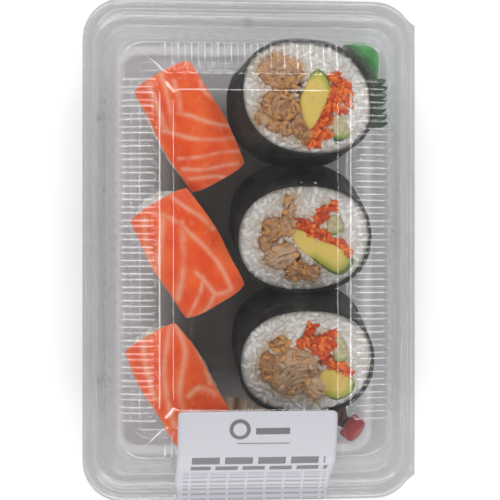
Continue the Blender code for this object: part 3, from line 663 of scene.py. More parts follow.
# %% [markdown]
# ## The label
# A coated paper strip hangs from the lid's end down over the flange. Its printing is left as generic fields:
# a ring and a bar, two rows of dark blocks and thin grey rules. They are painted by a material that reads
# two numbers kept on every point: how far across and how far down the paper it is.

# %% The label's sheet
LABEL_X = (-29.5 * MM, 31.0 * MM)
LABEL_CORNER = 1.6 * MM
LABEL_LINE = (
    (60.7, 46.5, 0.0),
    (62.6, 46.45, 1.0),
    (67.3, 46.1, 3.0),
    (80.4, 41.9, 3.0),
    (87.6, 28.2, 2.0),
    (91.6, 26.5, 1.2),
    (92.4, 25.05, 0.4),
    (97.1, 25.0, 0.0),
)


def label_mesh():
    line = bend_rounding([(y, 0.0, 0.0, z, rounding) for y, z, rounding in LABEL_LINE], (0, 0.33, 0.67, 1))
    path = walk(line[:, [0, 3]])
    down = np.linspace(0.0, path[-1], 70)
    rows, across_paper = [], []
    for d, y, z in zip(down, np.interp(down, path, line[:, 0]), np.interp(down, path, line[:, 3])):
        drawn = LABEL_CORNER - math.sqrt(max(LABEL_CORNER**2 - max(LABEL_CORNER - d, 0.0) ** 2, 0.0))
        drawn += LABEL_CORNER * max(0.0, (d - 0.86 * down[-1]) / (0.14 * down[-1]))
        xs = np.linspace(LABEL_X[0] + drawn, LABEL_X[1] - drawn, 40)
        wave = [0.25 * MM * noise.noise(Vector((x * 60, d * 80, 3.0))) for x in xs]
        rows.append([(x, -y - 0.3 * w, z + w) for x, w in zip(xs, wave)])
        across_paper.append(xs)
    mesh = skin("label", rows, around=False)
    paint(mesh, across=across_paper, down=np.repeat(down, 40))
    return modified(mesh, "SOLIDIFY", thickness=0.2 * MM, offset=1)


# %% The label's print
def label_paper(tree):
    across_it, down = tree.painted("across") * 1000.0, tree.painted("down") * 1000.0

    def stretch(where, low, high, soft=0.12):
        return where.between(low - soft, low + soft) * where.between(high + soft, high - soft)

    def field(left, right, top, bottom):
        return stretch(across_it, left, right) * stretch(down, top, bottom)

    def blocks(length, shift, share):
        return (across_it / length + shift).math("FRACT").between(share, share - 0.03)

    bars = field(-24.0, 27.0, 18.4, 22.4) * blocks(12.6, 0.9, 0.86)
    bars = bars + field(-24.0, 28.5, 24.4, 28.4) * blocks(10.4, 0.4, 0.84)
    radius = ((across_it + 6.0) ** 2.0 + (down - 7.0) ** 2.0).math("SQRT")
    emblem = radius.between(4.2, 3.9) * radius.between(2.4, 2.7) + field(0.0, 13.0, 6.4, 9.0)
    rules = field(-26.5, 29.0, 31.0, 46.0) * (down * 0.5).math("FRACT").between(0.55, 0.65)
    rules = rules * blocks(7.3, 0.2, 0.88)
    ink = bars * 0.8 + emblem * 0.85 + rules * 0.4 + field(-7.0, 13.0, 12.4, 13.0) * 0.6
    grain = tree.speckle(1.2 * MM, 3.0)
    paper = tree.mix((0.42, 0.42, 0.46), (0.47, 0.47, 0.51), grain)
    printed = tree.mix(paper, (0.06, 0.06, 0.065), ink.math("MINIMUM", 1.0))
    fibre = tree.bump(tree.speckle(0.35 * MM, 2.0), 0.00003)
    return {"Base Color": printed, "Roughness": grain * 0.1 + 0.42, "Normal": fibre}


piece("label_paper_sheet", label_mesh(), finish("label_paper", label_paper), "lid", "label_paper", "label")

# %% [markdown]
# ## Scattering grains and strips
# Rice is the same grain hundreds of times, and so are carrot strips and flakes of meat. One Geometry Nodes
# tree spreads a small mesh over a core: points at an even spacing, each turned at random, tilted, pressed in
# and given a random number for its shade. Simulating grains falling would not keep the slice's form.


# %% The scatter tree
def scatter_tree():
    kinds = {"Bit": "Object", "Spacing": "Float", "Density": "Float", "Smallest": "Float"}
    kinds.update({"Largest": "Float", "Tilt": "Float", "Sink": "Float", "Seed": "Int"})
    tree, ids, take = open_group("scatter_bits", kinds)
    number = {"data_type": "FLOAT"}
    zone = tree.add("GeometryNodeInputNamedAttribute", number, {"Name": "zone"})
    spread = tree.tree.nodes.new("GeometryNodeDistributePointsOnFaces")
    spread.distribute_method = "POISSON"
    spread.use_legacy_normal = False
    tree.fill(spread, {"Mesh": take["Geometry"], "Distance Min": take["Spacing"], "Seed": take["Seed"]})
    tree.fill(spread, {"Density Max": take["Density"], "Density Factor": zone})
    points, normal = Wire(tree, spread.outputs["Points"]), Wire(tree, spread.outputs["Normal"])
    facing = tree.add("FunctionNodeAlignRotationToVector", {"axis": "Z"}, {"Vector": normal})
    size = tree.add("FunctionNodeRandomValue", number, {2: take["Smallest"], 3: take["Largest"]}, 1)
    bit = tree.add("GeometryNodeObjectInfo", {}, {"Object": take["Bit"]}, 4)
    sockets = {"Points": points, "Instance": bit, "Rotation": facing, "Scale": size}
    copies = tree.add("GeometryNodeInstanceOnPoints", {}, sockets)
    negative = take["Tilt"] * -1.0
    low, high = tree.vector(negative, negative, 0.0), tree.vector(take["Tilt"], take["Tilt"], 6.283)
    spin = {"data_type": "FLOAT_VECTOR"}
    angles = tree.add("FunctionNodeRandomValue", spin, {0: low, 1: high, "Seed": 7})
    turned = tree.add("GeometryNodeRotateInstances", {}, {"Instances": copies, "Rotation": angles})
    sink = tree.vector(0.0, 0.0, take["Sink"] * -1.0)
    sunk = tree.add("GeometryNodeTranslateInstances", {}, {"Instances": turned, "Translation": sink})
    shade = tree.add("FunctionNodeRandomValue", number, {2: 0.0, 3: 1.0, "Seed": 3}, 1)
    sockets = {"Geometry": sunk, "Name": "shade", "Value": shade}
    named = tree.add("GeometryNodeStoreNamedAttribute", {**number, "domain": "INSTANCE"}, sockets)
    whole = tree.add("GeometryNodeRealizeInstances", {}, {"Geometry": named})
    both = tree.tree.nodes.new("GeometryNodeJoinGeometry")
    for part in (whole, take["Geometry"]):
        tree.fill(both, {0: part})
    close_group(tree, Wire(tree, both.outputs[0]), take)
    return tree, ids


scatter_bits = scatter_tree()


def scattered(mesh, bit, look, sizes):
    """The core with bits spread over it, as one plain mesh. A bit stays out of the scene itself."""
    return through(mesh, *scatter_bits, {**sizes, "Bit": bit, "Material": look})


# %% [markdown]
# ## Rice
# A cooked grain is a blunt spindle about 5 mm long. It is glossy, nearly white, and lets light in a little,
# which Subsurface gives. Each grain's own shade number moves it between two warm whites, and near the
# fillings a stain that was painted on the core tints it brown.


# %% One grain, and the rice's finish
def spindle(name, half, sides=8, rings=6, droop=0.12):
    """A blunt spindle along X."""
    rows = []
    for ring in range(rings):
        angle = math.pi * (ring + 0.35) / (rings - 0.3)
        x = -math.cos(angle) * half[0]
        girth = math.sin(angle) ** 0.75
        sag = droop * half[0] * (x / half[0]) ** 2
        turns = [-2 * math.pi * side / sides for side in range(sides)]
        rows.append([(x, math.cos(a) * girth * half[1], math.sin(a) * girth * half[2] - sag) for a in turns])
    return bpy.data.objects.new(name, skin(name, rows, caps=2))


def cooked_rice(tree):
    shade = tree.painted("shade")
    cloud = tree.speckle(7 * MM, 2.0)
    color = tree.mix((0.66, 0.61, 0.54), (0.86, 0.83, 0.78), shade.between(0.0, 0.8))
    color = tree.mix(color, (0.74, 0.68, 0.56), cloud.between(0.55, 0.75) * 0.4)
    soaked = tree.painted("stain") * tree.speckle(3.5 * MM, 4.0).between(0.30, 0.56)
    color = tree.mix(color, (0.52, 0.33, 0.16), soaked * 0.85)
    wet = tree.bump(tree.speckle(0.8 * MM, 3.0), 0.00012)
    return {"Base Color": color, "Roughness": shade * 0.15 + 0.32, "Normal": wet}


grain = spindle("rice_grain", (2.4 * MM, 1.2 * MM, 1.1 * MM))
rice_finish = finish("cooked_rice", cooked_rice, soft=0.2)

# %% [markdown]
# ## The rolls
# Each thick slice is a sheet of nori round rice, with fillings that run right through. The slices lie on a
# side and lean, so one matrix per roll carries everything that is built flat in the slice's own plane.
#
# A chunk of chicken is (x, y, half length, half width, turn, curl, paleness), an avocado its outline and the
# side that has skin, a strip of carrot (x, y, half length, turn), and a hollow an oval without rice.

# %% Where the rolls lie, in millimetres and degrees
ROLLS = (
    {
        "centre": (21.4, 59.0, 37.15),
        "half": (27.2, 23.4),
        "thick": 18.9,
        "lean": 18.0,
        "towards": 45.0,
        "chicken": (
            (-10.8, 9.2, 9.0, 7.2, 0.1, 0.4, 0.45), (-11.6, -4.4, 7.6, 6.2, 0.7, 1.7, 0.35),
            (-18.4, -9.2, 3.4, 2.8, 2.4, 1.0, 0.55), (-14.4, -12.2, 3.4, 2.6, 0.3, 1.0, 0.3),
            (-9.8, -13.2, 3.2, 2.8, 1.2, 1.4, 0.5), (-5.4, -12.6, 3.0, 3.2, 2.0, 1.0, 0.3),
            (-2.4, -16.0, 2.6, 2.2, 0.5, 1.0, 0.2),
        ),
        "hollow": ((-2.6, 1.5, 1.9, 7.5), (-9.5, 1.6, 6.0, 1.2)),
        "avocado": (
            (
                (-0.4, -13.9), (4.5, -6.5), (7.8, 0.1), (9.3, 3.8), (6.3, 10.1), (2.6, 9.9), (-0.2, 4.1),
                (-3.5, -2.8),
            ),
            ((0.8, 9.4), (3.0, 10.8), (6.8, 10.8), (9.8, 4.4)),
        ),
        "carrot": (
            (11.2, 8.6, 3.2, 18.0), (13.8, 6.0, 3.8, -30.0), (12.6, 3.0, 4.4, 12.0),
            (15.0, 0.2, 3.2, -34.0), (12.0, -0.6, 3.8, 48.0), (10.2, 1.4, 3.0, 64.0),
            (9.2, -2.6, 3.0, 10.0), (11.0, -4.0, 4.4, -10.0), (7.4, -5.4, 3.6, 66.0),
            (7.0, -9.6, 3.8, 20.0), (3.6, -11.2, 3.6, 70.0), (4.2, -15.0, 3.4, 10.0),
            (0.6, -17.8, 3.4, -24.0),
        ),
        "cucumber": (12.4, -11.8, 4.8, 3.8, -85.0),
    },
    {
        "centre": (19.6, 3.9, 36.7),
        "half": (26.2, 22.1),
        "thick": 29.8,
        "lean": 19.0,
        "towards": -90.0,
        "chicken": (
            (-8.6, -6.2, 6.4, 6.0, 0.4, 0.5, 1.0), (-11.8, 4.2, 4.4, 4.4, 0.8, 1.0, 0.25),
            (-6.8, 5.2, 3.8, 4.6, 2.2, 1.2, 0.5), (-14.6, -1.6, 2.8, 3.4, 1.6, 1.0, 0.4),
            (-2.2, -13.0, 4.4, 3.8, 0.3, 1.2, 0.2), (3.4, -13.6, 3.6, 3.2, 2.7, 1.0, 0.35),
            (-6.4, 12.4, 1.9, 4.6, 1.3, 0.3, 0.8),
        ),
        "hollow": ((-1.4, -8.0, 1.4, 2.6),),
        "avocado": (
            (
                (-3.6, 0.7), (-1.5, -3.3), (5.8, -9.0), (10.6, -12.7), (14.2, -14.0), (18.7, -9.9),
                (18.1, -6.2), (12.8, -2.9), (5.3, -0.1), (-0.2, 3.2), (-3.2, 4.0),
            ),
            ((4.0, -8.4), (9.8, -12.9), (14.4, -14.6), (19.2, -9.8), (18.8, -6.0)),
        ),
        "carrot": (
            (8.6, 12.2, 3.6, 28.0), (6.2, 9.4, 3.4, 50.0), (0.6, 5.8, 3.4, -12.0), (4.4, 6.0, 3.4, 34.0),
            (2.2, 2.8, 3.4, -30.0), (6.2, 2.2, 3.6, -10.0), (9.4, -0.4, 3.6, -34.0),
            (13.2, -1.6, 3.4, -20.0), (15.6, -4.2, 3.0, -50.0),
        ),
        "cucumber": (11.6, 5.8, 3.8, 3.8, -75.0),
    },
    {
        "centre": (20.6, -43.5, 36.7),
        "half": (26.3, 22.1),
        "thick": 29.8,
        "lean": 19.0,
        "towards": -90.0,
        "chicken": (
            (-5.2, -3.8, 10.2, 10.4, 0.5, 0.9, 0.9), (-14.6, -1.8, 3.4, 6.6, 1.4, 0.5, 0.3),
            (3.4, -10.2, 4.8, 5.2, 2.4, 0.8, 0.95), (-10.6, 7.2, 3.6, 3.0, 0.4, 1.0, 0.2),
        ),
        "hollow": ((5.6, 0.4, 1.2, 2.4),),
        "avocado": (
            (
                (5.0, -7.0), (9.7, -14.6), (13.6, -15.1), (18.2, -12.1), (18.7, -7.5), (13.5, -4.1),
                (8.3, -2.8),
            ),
            ((8.4, -14.8), (13.8, -15.8), (18.8, -12.6), (19.4, -8.0)),
        ),
        "carrot": (
            (0.6, 13.0, 2.6, 68.0), (-0.6, 9.0, 3.4, 18.0), (3.6, 8.6, 3.6, -16.0),
            (7.6, 11.0, 3.4, 24.0), (3.8, 5.0, 3.8, -34.0), (7.4, 6.4, 3.2, 60.0), (7.6, 2.2, 3.6, -56.0),
            (9.6, -0.8, 3.4, -30.0), (14.2, -2.6, 3.4, -46.0),
        ),
        "cucumber": (12.8, 5.2, 5.0, 3.0, -80.0),
    },
)
# Thickness of the nori and the gap inside it, in millimetres.
NORI = 0.8
GAP = 0.3


def roll_place(spec):
    """The matrix that lays a slice's own plane where the roll is."""
    towards = math.radians(spec["towards"])
    axis = Vector((-math.sin(towards), math.cos(towards), 0.0))
    lean = Matrix.Rotation(math.radians(spec["lean"]), 4, axis)
    return Matrix.Translation(Vector(spec["centre"]) * MM) @ lean


def oval(half, count, inset_by=0.0, power=2.3):
    """A slightly squared oval, anticlockwise, in millimetres."""
    angles = np.linspace(0, 2 * math.pi, count, endpoint=False)
    c, s = np.cos(angles), np.sin(angles)
    x = (half[0] - inset_by) * np.sign(c) * np.abs(c) ** (2 / power)
    y = (half[1] - inset_by) * np.sign(s) * np.abs(s) ** (2 / power)
    return np.stack([x, y], 1)


def rough(x, y, z, size, octaves=3):
    """Layered noise at a place given in millimetres."""
    return noise.fractal(Vector((x, y, z)) / size, 1.0, 2.0, octaves)


# %% [markdown]
# ### Nori
# The seaweed wrap is a thin dark sheet pressed on by the rice, so it wrinkles. Its faces are moved by low
# noise, and its edge stands a little uneven. The finish is near black with a green cast and lighter, duller
# patches, partly the sheet's own tone and partly painted sheen.


# %% Nori
def nori_mesh(number, spec):
    outer, inner = oval(spec["half"], 168), oval(spec["half"], 168, NORI)
    levels = np.linspace(-spec["thick"], -0.4, 18)
    rows = []
    for edge, flat in ((0, inner), (1, outer)):
        for level in levels if edge else levels[::-1]:
            row = []
            for x, y in flat:
                wrinkle = 0.22 * rough(x, y, level * 0.6 + number * 40, 4.5) if edge else 0.0
                out = 1.0 + wrinkle / math.hypot(x, y)
                lift = 0.35 * rough(x, y, number * 9.0, 3.0) if level == levels[-1] else 0.0
                row.append((x * out, y * out, level + lift))
            rows.append(np.array(row) * MM)
    return merged([skin("nori", rows + rows[:1])], weld=True)


def nori_sheet(tree):
    patch = tree.speckle(9 * MM, 4.0, bend=0.6)
    fine = tree.speckle(0.9 * MM, 4.0, rough=0.7)
    # The lighter grey patches are partly the sheet's own duller tone and partly painted sheen.
    color = tree.mix((0.004, 0.004, 0.003), (0.030, 0.030, 0.026), patch.between(0.42, 0.75))
    color = tree.mix(color, (0.018, 0.022, 0.012), fine.between(0.55, 0.8) * 0.5)
    crease = tree.bump(fine * 0.5 + tree.speckle(3 * MM, 2.0), 0.0005)
    return {"Base Color": color, "Roughness": patch * 0.3 + 0.45, "Normal": crease}


nori_finish = finish("nori_sheet", nori_sheet, shine=0.25)
for number, spec in enumerate(ROLLS, 1):
    mesh = nori_mesh(number, spec)
    mesh.transform(roll_place(spec))
    food(f"roll_{number}", "nori_wrap", mesh, nori_finish, "nori")


# %% [markdown]
# ### What fills a slice
# A filling is a column over a flat outline, closed at both ends. Rings that shrink towards the middle of the
# outline carry the relief of its cut face, front and back alike, because both ends of a slice were cut.


# %% Columns over outlines
SHARES = (0.05, 0.18, 0.32, 0.46, 0.6, 0.72, 0.83, 0.92, 0.97, 1.0)


def column(flat, low, high, relief, shares=SHARES, crown=0.5, edge=0.5):
    """A closed column over a flat outline; relief(x, y, face) raises its two cut faces."""
    flat = np.asarray(flat, float)
    middle = flat.mean(0)
    rows, depths = [], []
    for face in (-1, 1):
        for share in shares if face < 0 else shares[::-1]:
            row = []
            for x, y in middle + (flat - middle) * share:
                rise = relief(x, y, face) * (1.0 - share**6)
                dome = crown * (1.0 - share**2) - edge * share**14
                level = (high if face > 0 else low) + face * (rise + dome)
                row.append((x * MM, y * MM, level * MM))
                depths.append(rise)
            rows.append(row)
    mesh = skin("column", rows, caps=2)
    paint(mesh, relief=depths)
    return mesh


def bumps(height, seed, size):
    """The low relief of a cut face."""
    return lambda x, y, face: height * rough(x, y, seed + face, size)


def spun(points, x0, y0, turn):
    """Flat points turned by degrees about the origin, then moved."""
    a, b = np.transpose(points)
    cos_t, sin_t = math.cos(math.radians(turn)), math.sin(math.radians(turn))
    return np.stack([x0 + a * cos_t - b * sin_t, y0 + a * sin_t + b * cos_t], 1)


# %% [markdown]
# ### Chicken
# The meat is pulled cooked chicken in a dark sauce: folded bundles of fibre, darker in the creases than on
# the ridges, partly the sauce's brown and partly painted shade. Every point keeps its place along and across
# its bundle's bent fibres, and both the relief and the colour are noise that is stretched along them. Small
# crumbs are scattered over the rims.


# %% Bundles of meat
def chicken_chunk(number, index, chunk, low):
    x0, y0, a, b, turn, curl, pale = chunk
    cos_t, sin_t = math.cos(turn), math.sin(turn)
    lot = number * 7.0 + index * 2.3

    def fibre_place(x, y):
        u, v = (x - x0) * cos_t + (y - y0) * sin_t, (y - y0) * cos_t - (x - x0) * sin_t
        return u, v + curl * 0.07 * u**2 + 0.8 * noise.noise(Vector((u * 0.2, v * 0.2, lot)))

    def fibres(x, y, face):
        u, v = fibre_place(x, y)
        fold = abs(noise.noise(Vector((u * 0.10, v * 0.34, lot + face))))
        thread = noise.noise(Vector((u * 0.18, v * 1.4, lot - face)))
        return 1.8 * min(fold, 0.35) + 0.6 * thread + 0.45 * rough(x, y, lot + face, 2.4) - 0.4

    count, rings = (96, 26) if a * b > 30 else (56, 16)
    flat = []
    for angle in np.linspace(0, 2 * math.pi, count, endpoint=False):
        wobble = 1.0 + 0.13 * rough(3 * math.cos(angle), 3 * math.sin(angle), lot, 2.0)
        flat.append((x0 + a * wobble * math.cos(angle), y0 + b * wobble * math.sin(angle)))
    high = -0.4 + 0.3 * (index % 3)
    mesh = column(flat, low, high, fibres, tuple(np.linspace(0.04, 1.0, rings)), crown=1.2, edge=1.3)
    x, y, z = places_of(mesh)
    u, v = np.transpose([fibre_place(*place) for place in zip(x, y)])
    paint(mesh, strand_u=u, strand_v=v, lot=np.full(len(x), lot), pale=np.full(len(x), pale))
    spread = np.hypot((x - x0) / a, (y - y0) / b)
    paint(mesh, zone=(spread > 0.5) & (spread < 0.97) & (z > -3.0))
    return mesh


# %% The meat's finish, and the pieces
def cooked_chicken(tree):
    along, across_it = tree.painted("strand_u") * 0.13, tree.painted("strand_v") * 1.1
    strand = tree.vector(along, across_it, tree.painted("lot"))
    sockets = {"Vector": strand, "Scale": 1.0, "Detail": 4.0, "Roughness": 0.65, "Distortion": 0.5}
    streak = tree.add("ShaderNodeTexNoise", {}, sockets)
    fine = tree.speckle(0.8 * MM, 4.0, rough=0.65)
    patch = tree.speckle(4.5 * MM, 3.0, bend=0.5)
    pale, shade = tree.painted("pale"), tree.painted("shade")
    brown = tree.mix((0.32, 0.118, 0.025), (0.62, 0.31, 0.10), streak.between(0.36, 0.62))
    light = tree.mix((0.48, 0.28, 0.135), (0.70, 0.50, 0.33), streak.between(0.30, 0.62))
    color = tree.mix(brown, light, pale)
    sauce = patch.between(0.52, 0.68) * (1.0 - pale * 0.55) * 0.8
    color = tree.mix(color, (0.24, 0.088, 0.022), sauce)
    # Painted shade, with some of the sauce's brown: where the relief sinks into a crease, the meat is
    # darkened.
    color = tree.mix(color, (0.10, 0.036, 0.012), tree.painted("relief").between(-0.15, -0.85) * 0.75)
    color = tree.mix(color, (0.68, 0.33, 0.09), shade.between(0.1, 0.6) * 0.75)
    color = tree.mix(color, (0.80, 0.58, 0.34), fine.between(0.62, 0.80) * 0.35)
    wet = tree.bump(streak + fine * 0.4, 0.0006)
    return {"Base Color": color, "Roughness": fine * 0.25 + 0.30, "Normal": wet}


crumb = spindle("meat_crumb", (1.15 * MM, 0.62 * MM, 0.5 * MM), 6, 5, 0.2)
chicken_finish = finish("cooked_chicken", cooked_chicken, soft=0.08, shine=0.35)
crumbs = {"Spacing": 1.3 * MM, "Density": 200000.0, "Smallest": 0.7, "Largest": 1.9, "Tilt": 0.7}
for number, spec in enumerate(ROLLS, 1):
    low = 0.4 - spec["thick"]
    mesh = merged([chicken_chunk(number, index, chunk, low) for index, chunk in enumerate(spec["chicken"])])
    mesh.transform(roll_place(spec))
    mesh = scattered(mesh, crumb, chicken_finish, {**crumbs, "Sink": -0.1 * MM, "Seed": 40 + number})
    food(f"roll_{number}", "meat", mesh, chicken_finish, "chicken")


# %% [markdown]
# ### Avocado
# Each slice of avocado has an outline of its own, rounded by cutting its corners again and again. Its colour
# runs from butter yellow to green in the last millimetres, so every point keeps how near it is to the skin.


# %% Avocado
def rounded(points, rounds=2, closed=True):
    """Cuts the corners of an outline or a path, each round making it smoother."""
    for _ in range(rounds):
        pairs = list(zip(points, points[1:] + points[:1])) if closed else list(zip(points, points[1:]))
        cut = []
        for (ax, ay), (bx, by) in pairs:
            cut.append((0.75 * ax + 0.25 * bx, 0.75 * ay + 0.25 * by))
            cut.append((0.25 * ax + 0.75 * bx, 0.25 * ay + 0.75 * by))
        points = cut if closed else [points[0], *cut, points[-1]]
    return points


def path_distance(path, x, y):
    """How far places are from a path of straight steps."""
    nearest = np.full(np.shape(x), 1e9)
    for (ax, ay), (bx, by) in zip(path, path[1:]):
        share = ((x - ax) * (bx - ax) + (y - ay) * (by - ay)) / ((bx - ax) ** 2 + (by - ay) ** 2)
        share = np.clip(share, 0.0, 1.0)
        nearest = np.minimum(nearest, np.hypot(x - ax - share * (bx - ax), y - ay - share * (by - ay)))
    return nearest


def avocado_flesh(tree):
    rim = tree.painted("rim")
    cloud = tree.speckle(4 * MM, 3.0)
    color = tree.mix((0.80, 0.56, 0.115), (0.74, 0.58, 0.15), cloud)
    color = tree.mix(color, (0.44, 0.45, 0.055), rim.between(-4.6, -1.4))
    color = tree.mix(color, (0.13, 0.19, 0.02), rim.between(-1.6, -0.5))
    color = tree.mix(color, (0.55, 0.26, 0.05), tree.speckle(2.2 * MM, 3.0).between(0.60, 0.75) * 0.5)
    smear = tree.bump(tree.speckle(1.5 * MM, 3.0), 0.0002)
    return {"Base Color": color, "Roughness": cloud * 0.2 + 0.25, "Normal": smear}


AVOCADO_SCALE = 1.12
avocado_finish = finish("avocado_flesh", avocado_flesh, soft=0.12, shine=0.3)
for number, spec in enumerate(ROLLS, 1):
    outer, skin_side = spec["avocado"]
    flat = np.array(rounded(list(outer), 3))
    flat = flat.mean(0) + (flat - flat.mean(0)) * AVOCADO_SCALE
    mesh = column(flat, 0.4 - spec["thick"], 0.2, bumps(0.4, number, 4.0), crown=0.7)
    x, y, _ = places_of(mesh)
    paint(mesh, rim=-path_distance(rounded(list(skin_side), 2, False), x, y))
    mesh.transform(roll_place(spec))
    food(f"roll_{number}", "avocado_slice", mesh, avocado_finish, "avocado")


# %% [markdown]
# ### Carrot
# Carrot is cut into matchsticks. The CAD holds a few broad strips; here each of them carries a bunch of thin
# sticks at slightly different heights and turns, spread by the scatter tree over the strips' cut faces.


# %% Carrot
def box_outline(x0, y0, half_long, half_wide, turn, steps=6):
    points = []
    for a, b, c, d in ((-1, -1, 1, -1), (1, -1, 1, 1), (1, 1, -1, 1), (-1, 1, -1, -1)):
        for t in (step / steps for step in range(steps)):
            points.append(((a + (c - a) * t) * half_long, (b + (d - b) * t) * half_wide))
    return spun(points, x0, y0, turn)


def carrot_stick(half_x, half_y, half_z):
    rows = []
    for x in (-1.0, -0.93, -0.4, 0.2, 0.93, 1.0):
        girth = 0.78 if abs(x) == 1.0 else 1.0
        row = []
        for a, b in ((1, -0.6), (1, 0.6), (0.6, 1), (-0.6, 1), (-1, 0.6), (-1, -0.6), (-0.6, -1), (0.6, -1)):
            bow = 0.25 * half_y * math.sin(2.2 * x)
            row.append((x * half_x, -b * half_y * girth + bow, a * half_z * girth))
        rows.append(row)
    return bpy.data.objects.new("carrot_stick", skin("carrot_stick", rows, caps=2))


def carrot_root(tree):
    shade = tree.painted("shade")
    fibre = tree.speckle(1.2 * MM, 3.0)
    color = tree.mix((0.62, 0.060, 0.008), (0.95, 0.22, 0.030), (shade + fibre * 0.5).between(0.25, 1.15))
    # The darker patches here and there are painted shade among the sticks.
    color = tree.mix(color, (0.22, 0.045, 0.010), tree.speckle(4 * MM, 2.0).between(0.58, 0.72) * 0.7)
    return {"Base Color": color, "Roughness": fibre * 0.2 + 0.35, "Normal": tree.bump(fibre, 0.0003)}


stick = carrot_stick(1.9 * MM, 0.8 * MM, 0.75 * MM)
carrot_finish = finish("carrot_root", carrot_root, soft=0.08, shine=0.3)
sticks = {"Spacing": 1.3 * MM, "Density": 900000.0, "Smallest": 0.6, "Largest": 1.2, "Tilt": 0.6}
for number, spec in enumerate(ROLLS, 1):
    strips = []
    for index, (x0, y0, half_long, turn) in enumerate(spec["carrot"]):
        flat, high = box_outline(x0, y0, half_long, 1.3, turn), -1.1 + 0.5 * (index % 3)
        cut = bumps(0.25, index, 1.5)
        strips.append(column(flat, 0.5 - spec["thick"], high, cut, (0.1, 0.5, 0.85, 0.96, 1.0), 0.2, 0.3))
    mesh = merged(strips)
    z = places_of(mesh)[2]
    paint(mesh, zone=(z > -2.0) | (z < 2.0 - spec["thick"]))
    mesh.transform(roll_place(spec))
    mesh = scattered(mesh, stick, carrot_finish, {**sticks, "Sink": 0.1 * MM, "Seed": number})
    food(f"roll_{number}", "carrot_bits", mesh, carrot_finish, "carrot")


# %% [markdown]
# ### Cucumber
# A baton of cucumber keeps a strip of dark skin on its round side, over pale wet flesh. Again the distance
# from the skin is kept on the points, and the finish paints skin, rind and flesh from it.


# %% Cucumber
def wedge(x0, y0, half_a, half_b, turn):
    corners = np.array(((-1.0, -0.7), (1.0, -1.0), (1.05, 0.0), (0.7, 1.0), (-1.0, 0.6))) * (half_a, half_b)
    points = []
    for before, corner, after in zip(np.roll(corners, 1, 0), corners, np.roll(corners, -1, 0)):
        a, b = corner + (before - corner) * 0.3, corner + (after - corner) * 0.3
        points += bend(a, corner, b, (0.0, 0.25, 0.5, 0.75, 1.0))
    return spun(points, x0, y0, turn)


def cucumber_flesh(tree):
    skin_near = tree.painted("rim")
    seeds = tree.speckle(1.6 * MM, 2.0)
    color = tree.mix((0.44, 0.38, 0.19), (0.56, 0.50, 0.29), seeds.between(0.4, 0.6))
    color = tree.mix(color, (0.26, 0.33, 0.07), skin_near.between(-2.8, -1.0))
    color = tree.mix(color, (0.05, 0.12, 0.015), skin_near.between(-0.9, -0.35))
    return {"Base Color": color, "Roughness": seeds * 0.2 + 0.2, "Normal": tree.bump(seeds, 0.0002)}


cucumber_finish = finish("cucumber_flesh", cucumber_flesh, soft=0.12)
for number, spec in enumerate(ROLLS, 1):
    x0, y0, half_a, half_b, turn = spec["cucumber"]
    mesh = column(wedge(*spec["cucumber"]), 0.4 - spec["thick"], -0.1, bumps(0.3, 20, 2.5), SHARES, 0.3, 0.4)
    x, y, _ = places_of(mesh)
    a, b = spun(np.stack([x - x0, y - y0], 1), 0.0, 0.0, -turn).T
    paint(mesh, rim=a - half_a * (1.05 - 0.2 * (b / half_b) ** 2))
    mesh.transform(roll_place(spec))
    food(f"roll_{number}", "cucumber_baton", mesh, cucumber_finish, "cucumber")


# %% [markdown]
# ### The slices' rice
# The rice fills everything between the nori and the fillings. Its core is a column with holes cut for the
# fillings by one Boolean, and the scatter tree lays grains on both cut faces.


# %% Rice round the fillings
def rice_core(number, spec):
    outside, rings = oval(spec["half"], 72, NORI + GAP), tuple(np.linspace(0.03, 1.0, 16))
    core = column(outside, 0.9 - spec["thick"], -1.5, bumps(0.5, number * 3.0, 3.0), rings, crown=0.3)
    cutters = bpy.data.collections.new("cutters")
    scene.collection.children.link(cutters)
    outlines = [oval((a + 0.2, b + 0.2), 20, power=2.0) + (x, y) for x, y, a, b, *_ in spec["chicken"]]
    outlines.append(rounded(list(spec["avocado"][0]), 1))
    outlines += [oval((a, b), 20, power=2.0) + (x, y) for x, y, a, b in spec["hollow"]]
    outlines += [box_outline(x, y, a, 1.6, turn, 1) for x, y, a, turn in spec["carrot"]]
    outlines.append(wedge(*spec["cucumber"]))
    for flat in outlines:
        rows = [[(x * MM, y * MM, z * MM) for x, y in flat] for z in (-spec["thick"] - 2.0, 3.0)]
        mesh = merged([skin("cutter", rows, caps=2)], weld=True)
        cutters.objects.link(bpy.data.objects.new("cutter", mesh))
    holes = {"operation": "DIFFERENCE", "solver": "MANIFOLD", "operand_type": "COLLECTION"}
    mesh = modified(core, "BOOLEAN", **holes, collection=cutters)
    for cutter in list(cutters.objects):
        bpy.data.objects.remove(cutter)
    bpy.data.collections.remove(cutters)
    return mesh


grains = {"Spacing": 1.75 * MM, "Density": 600000.0, "Smallest": 0.8, "Largest": 1.1, "Tilt": 0.22}
for number, spec in enumerate(ROLLS, 1):
    mesh = rice_core(number, spec)
    near, reach = spec["thick"] / 2, np.array(spec["half"]) - 1.8
    x, y, z = places_of(mesh)
    inner = np.abs(x / reach[0]) ** 2.3 + np.abs(y / reach[1]) ** 2.3 < 1.0
    gap = np.full(len(x), 9.0)
    for x0, y0, a, b, *_ in spec["chicken"]:
        gap = np.minimum(gap, (np.hypot((x - x0) / a, (y - y0) / b) - 1.0) * min(a, b))
    for x0, y0, *_ in spec["carrot"]:
        gap = np.minimum(gap, np.hypot(x - x0, y - y0) - 1.2)
    paint(mesh, zone=inner & (np.abs(z + near) > near - 2.8), stain=np.clip(1.0 - gap / 3.6, 0.0, 1.0))
    mesh.transform(roll_place(spec))
    mesh = scattered(mesh, grain, rice_finish, {**grains, "Sink": 0.5 * MM, "Seed": 10 + number})
    food(f"roll_{number}", "rice_grains", mesh, rice_finish, "rice")

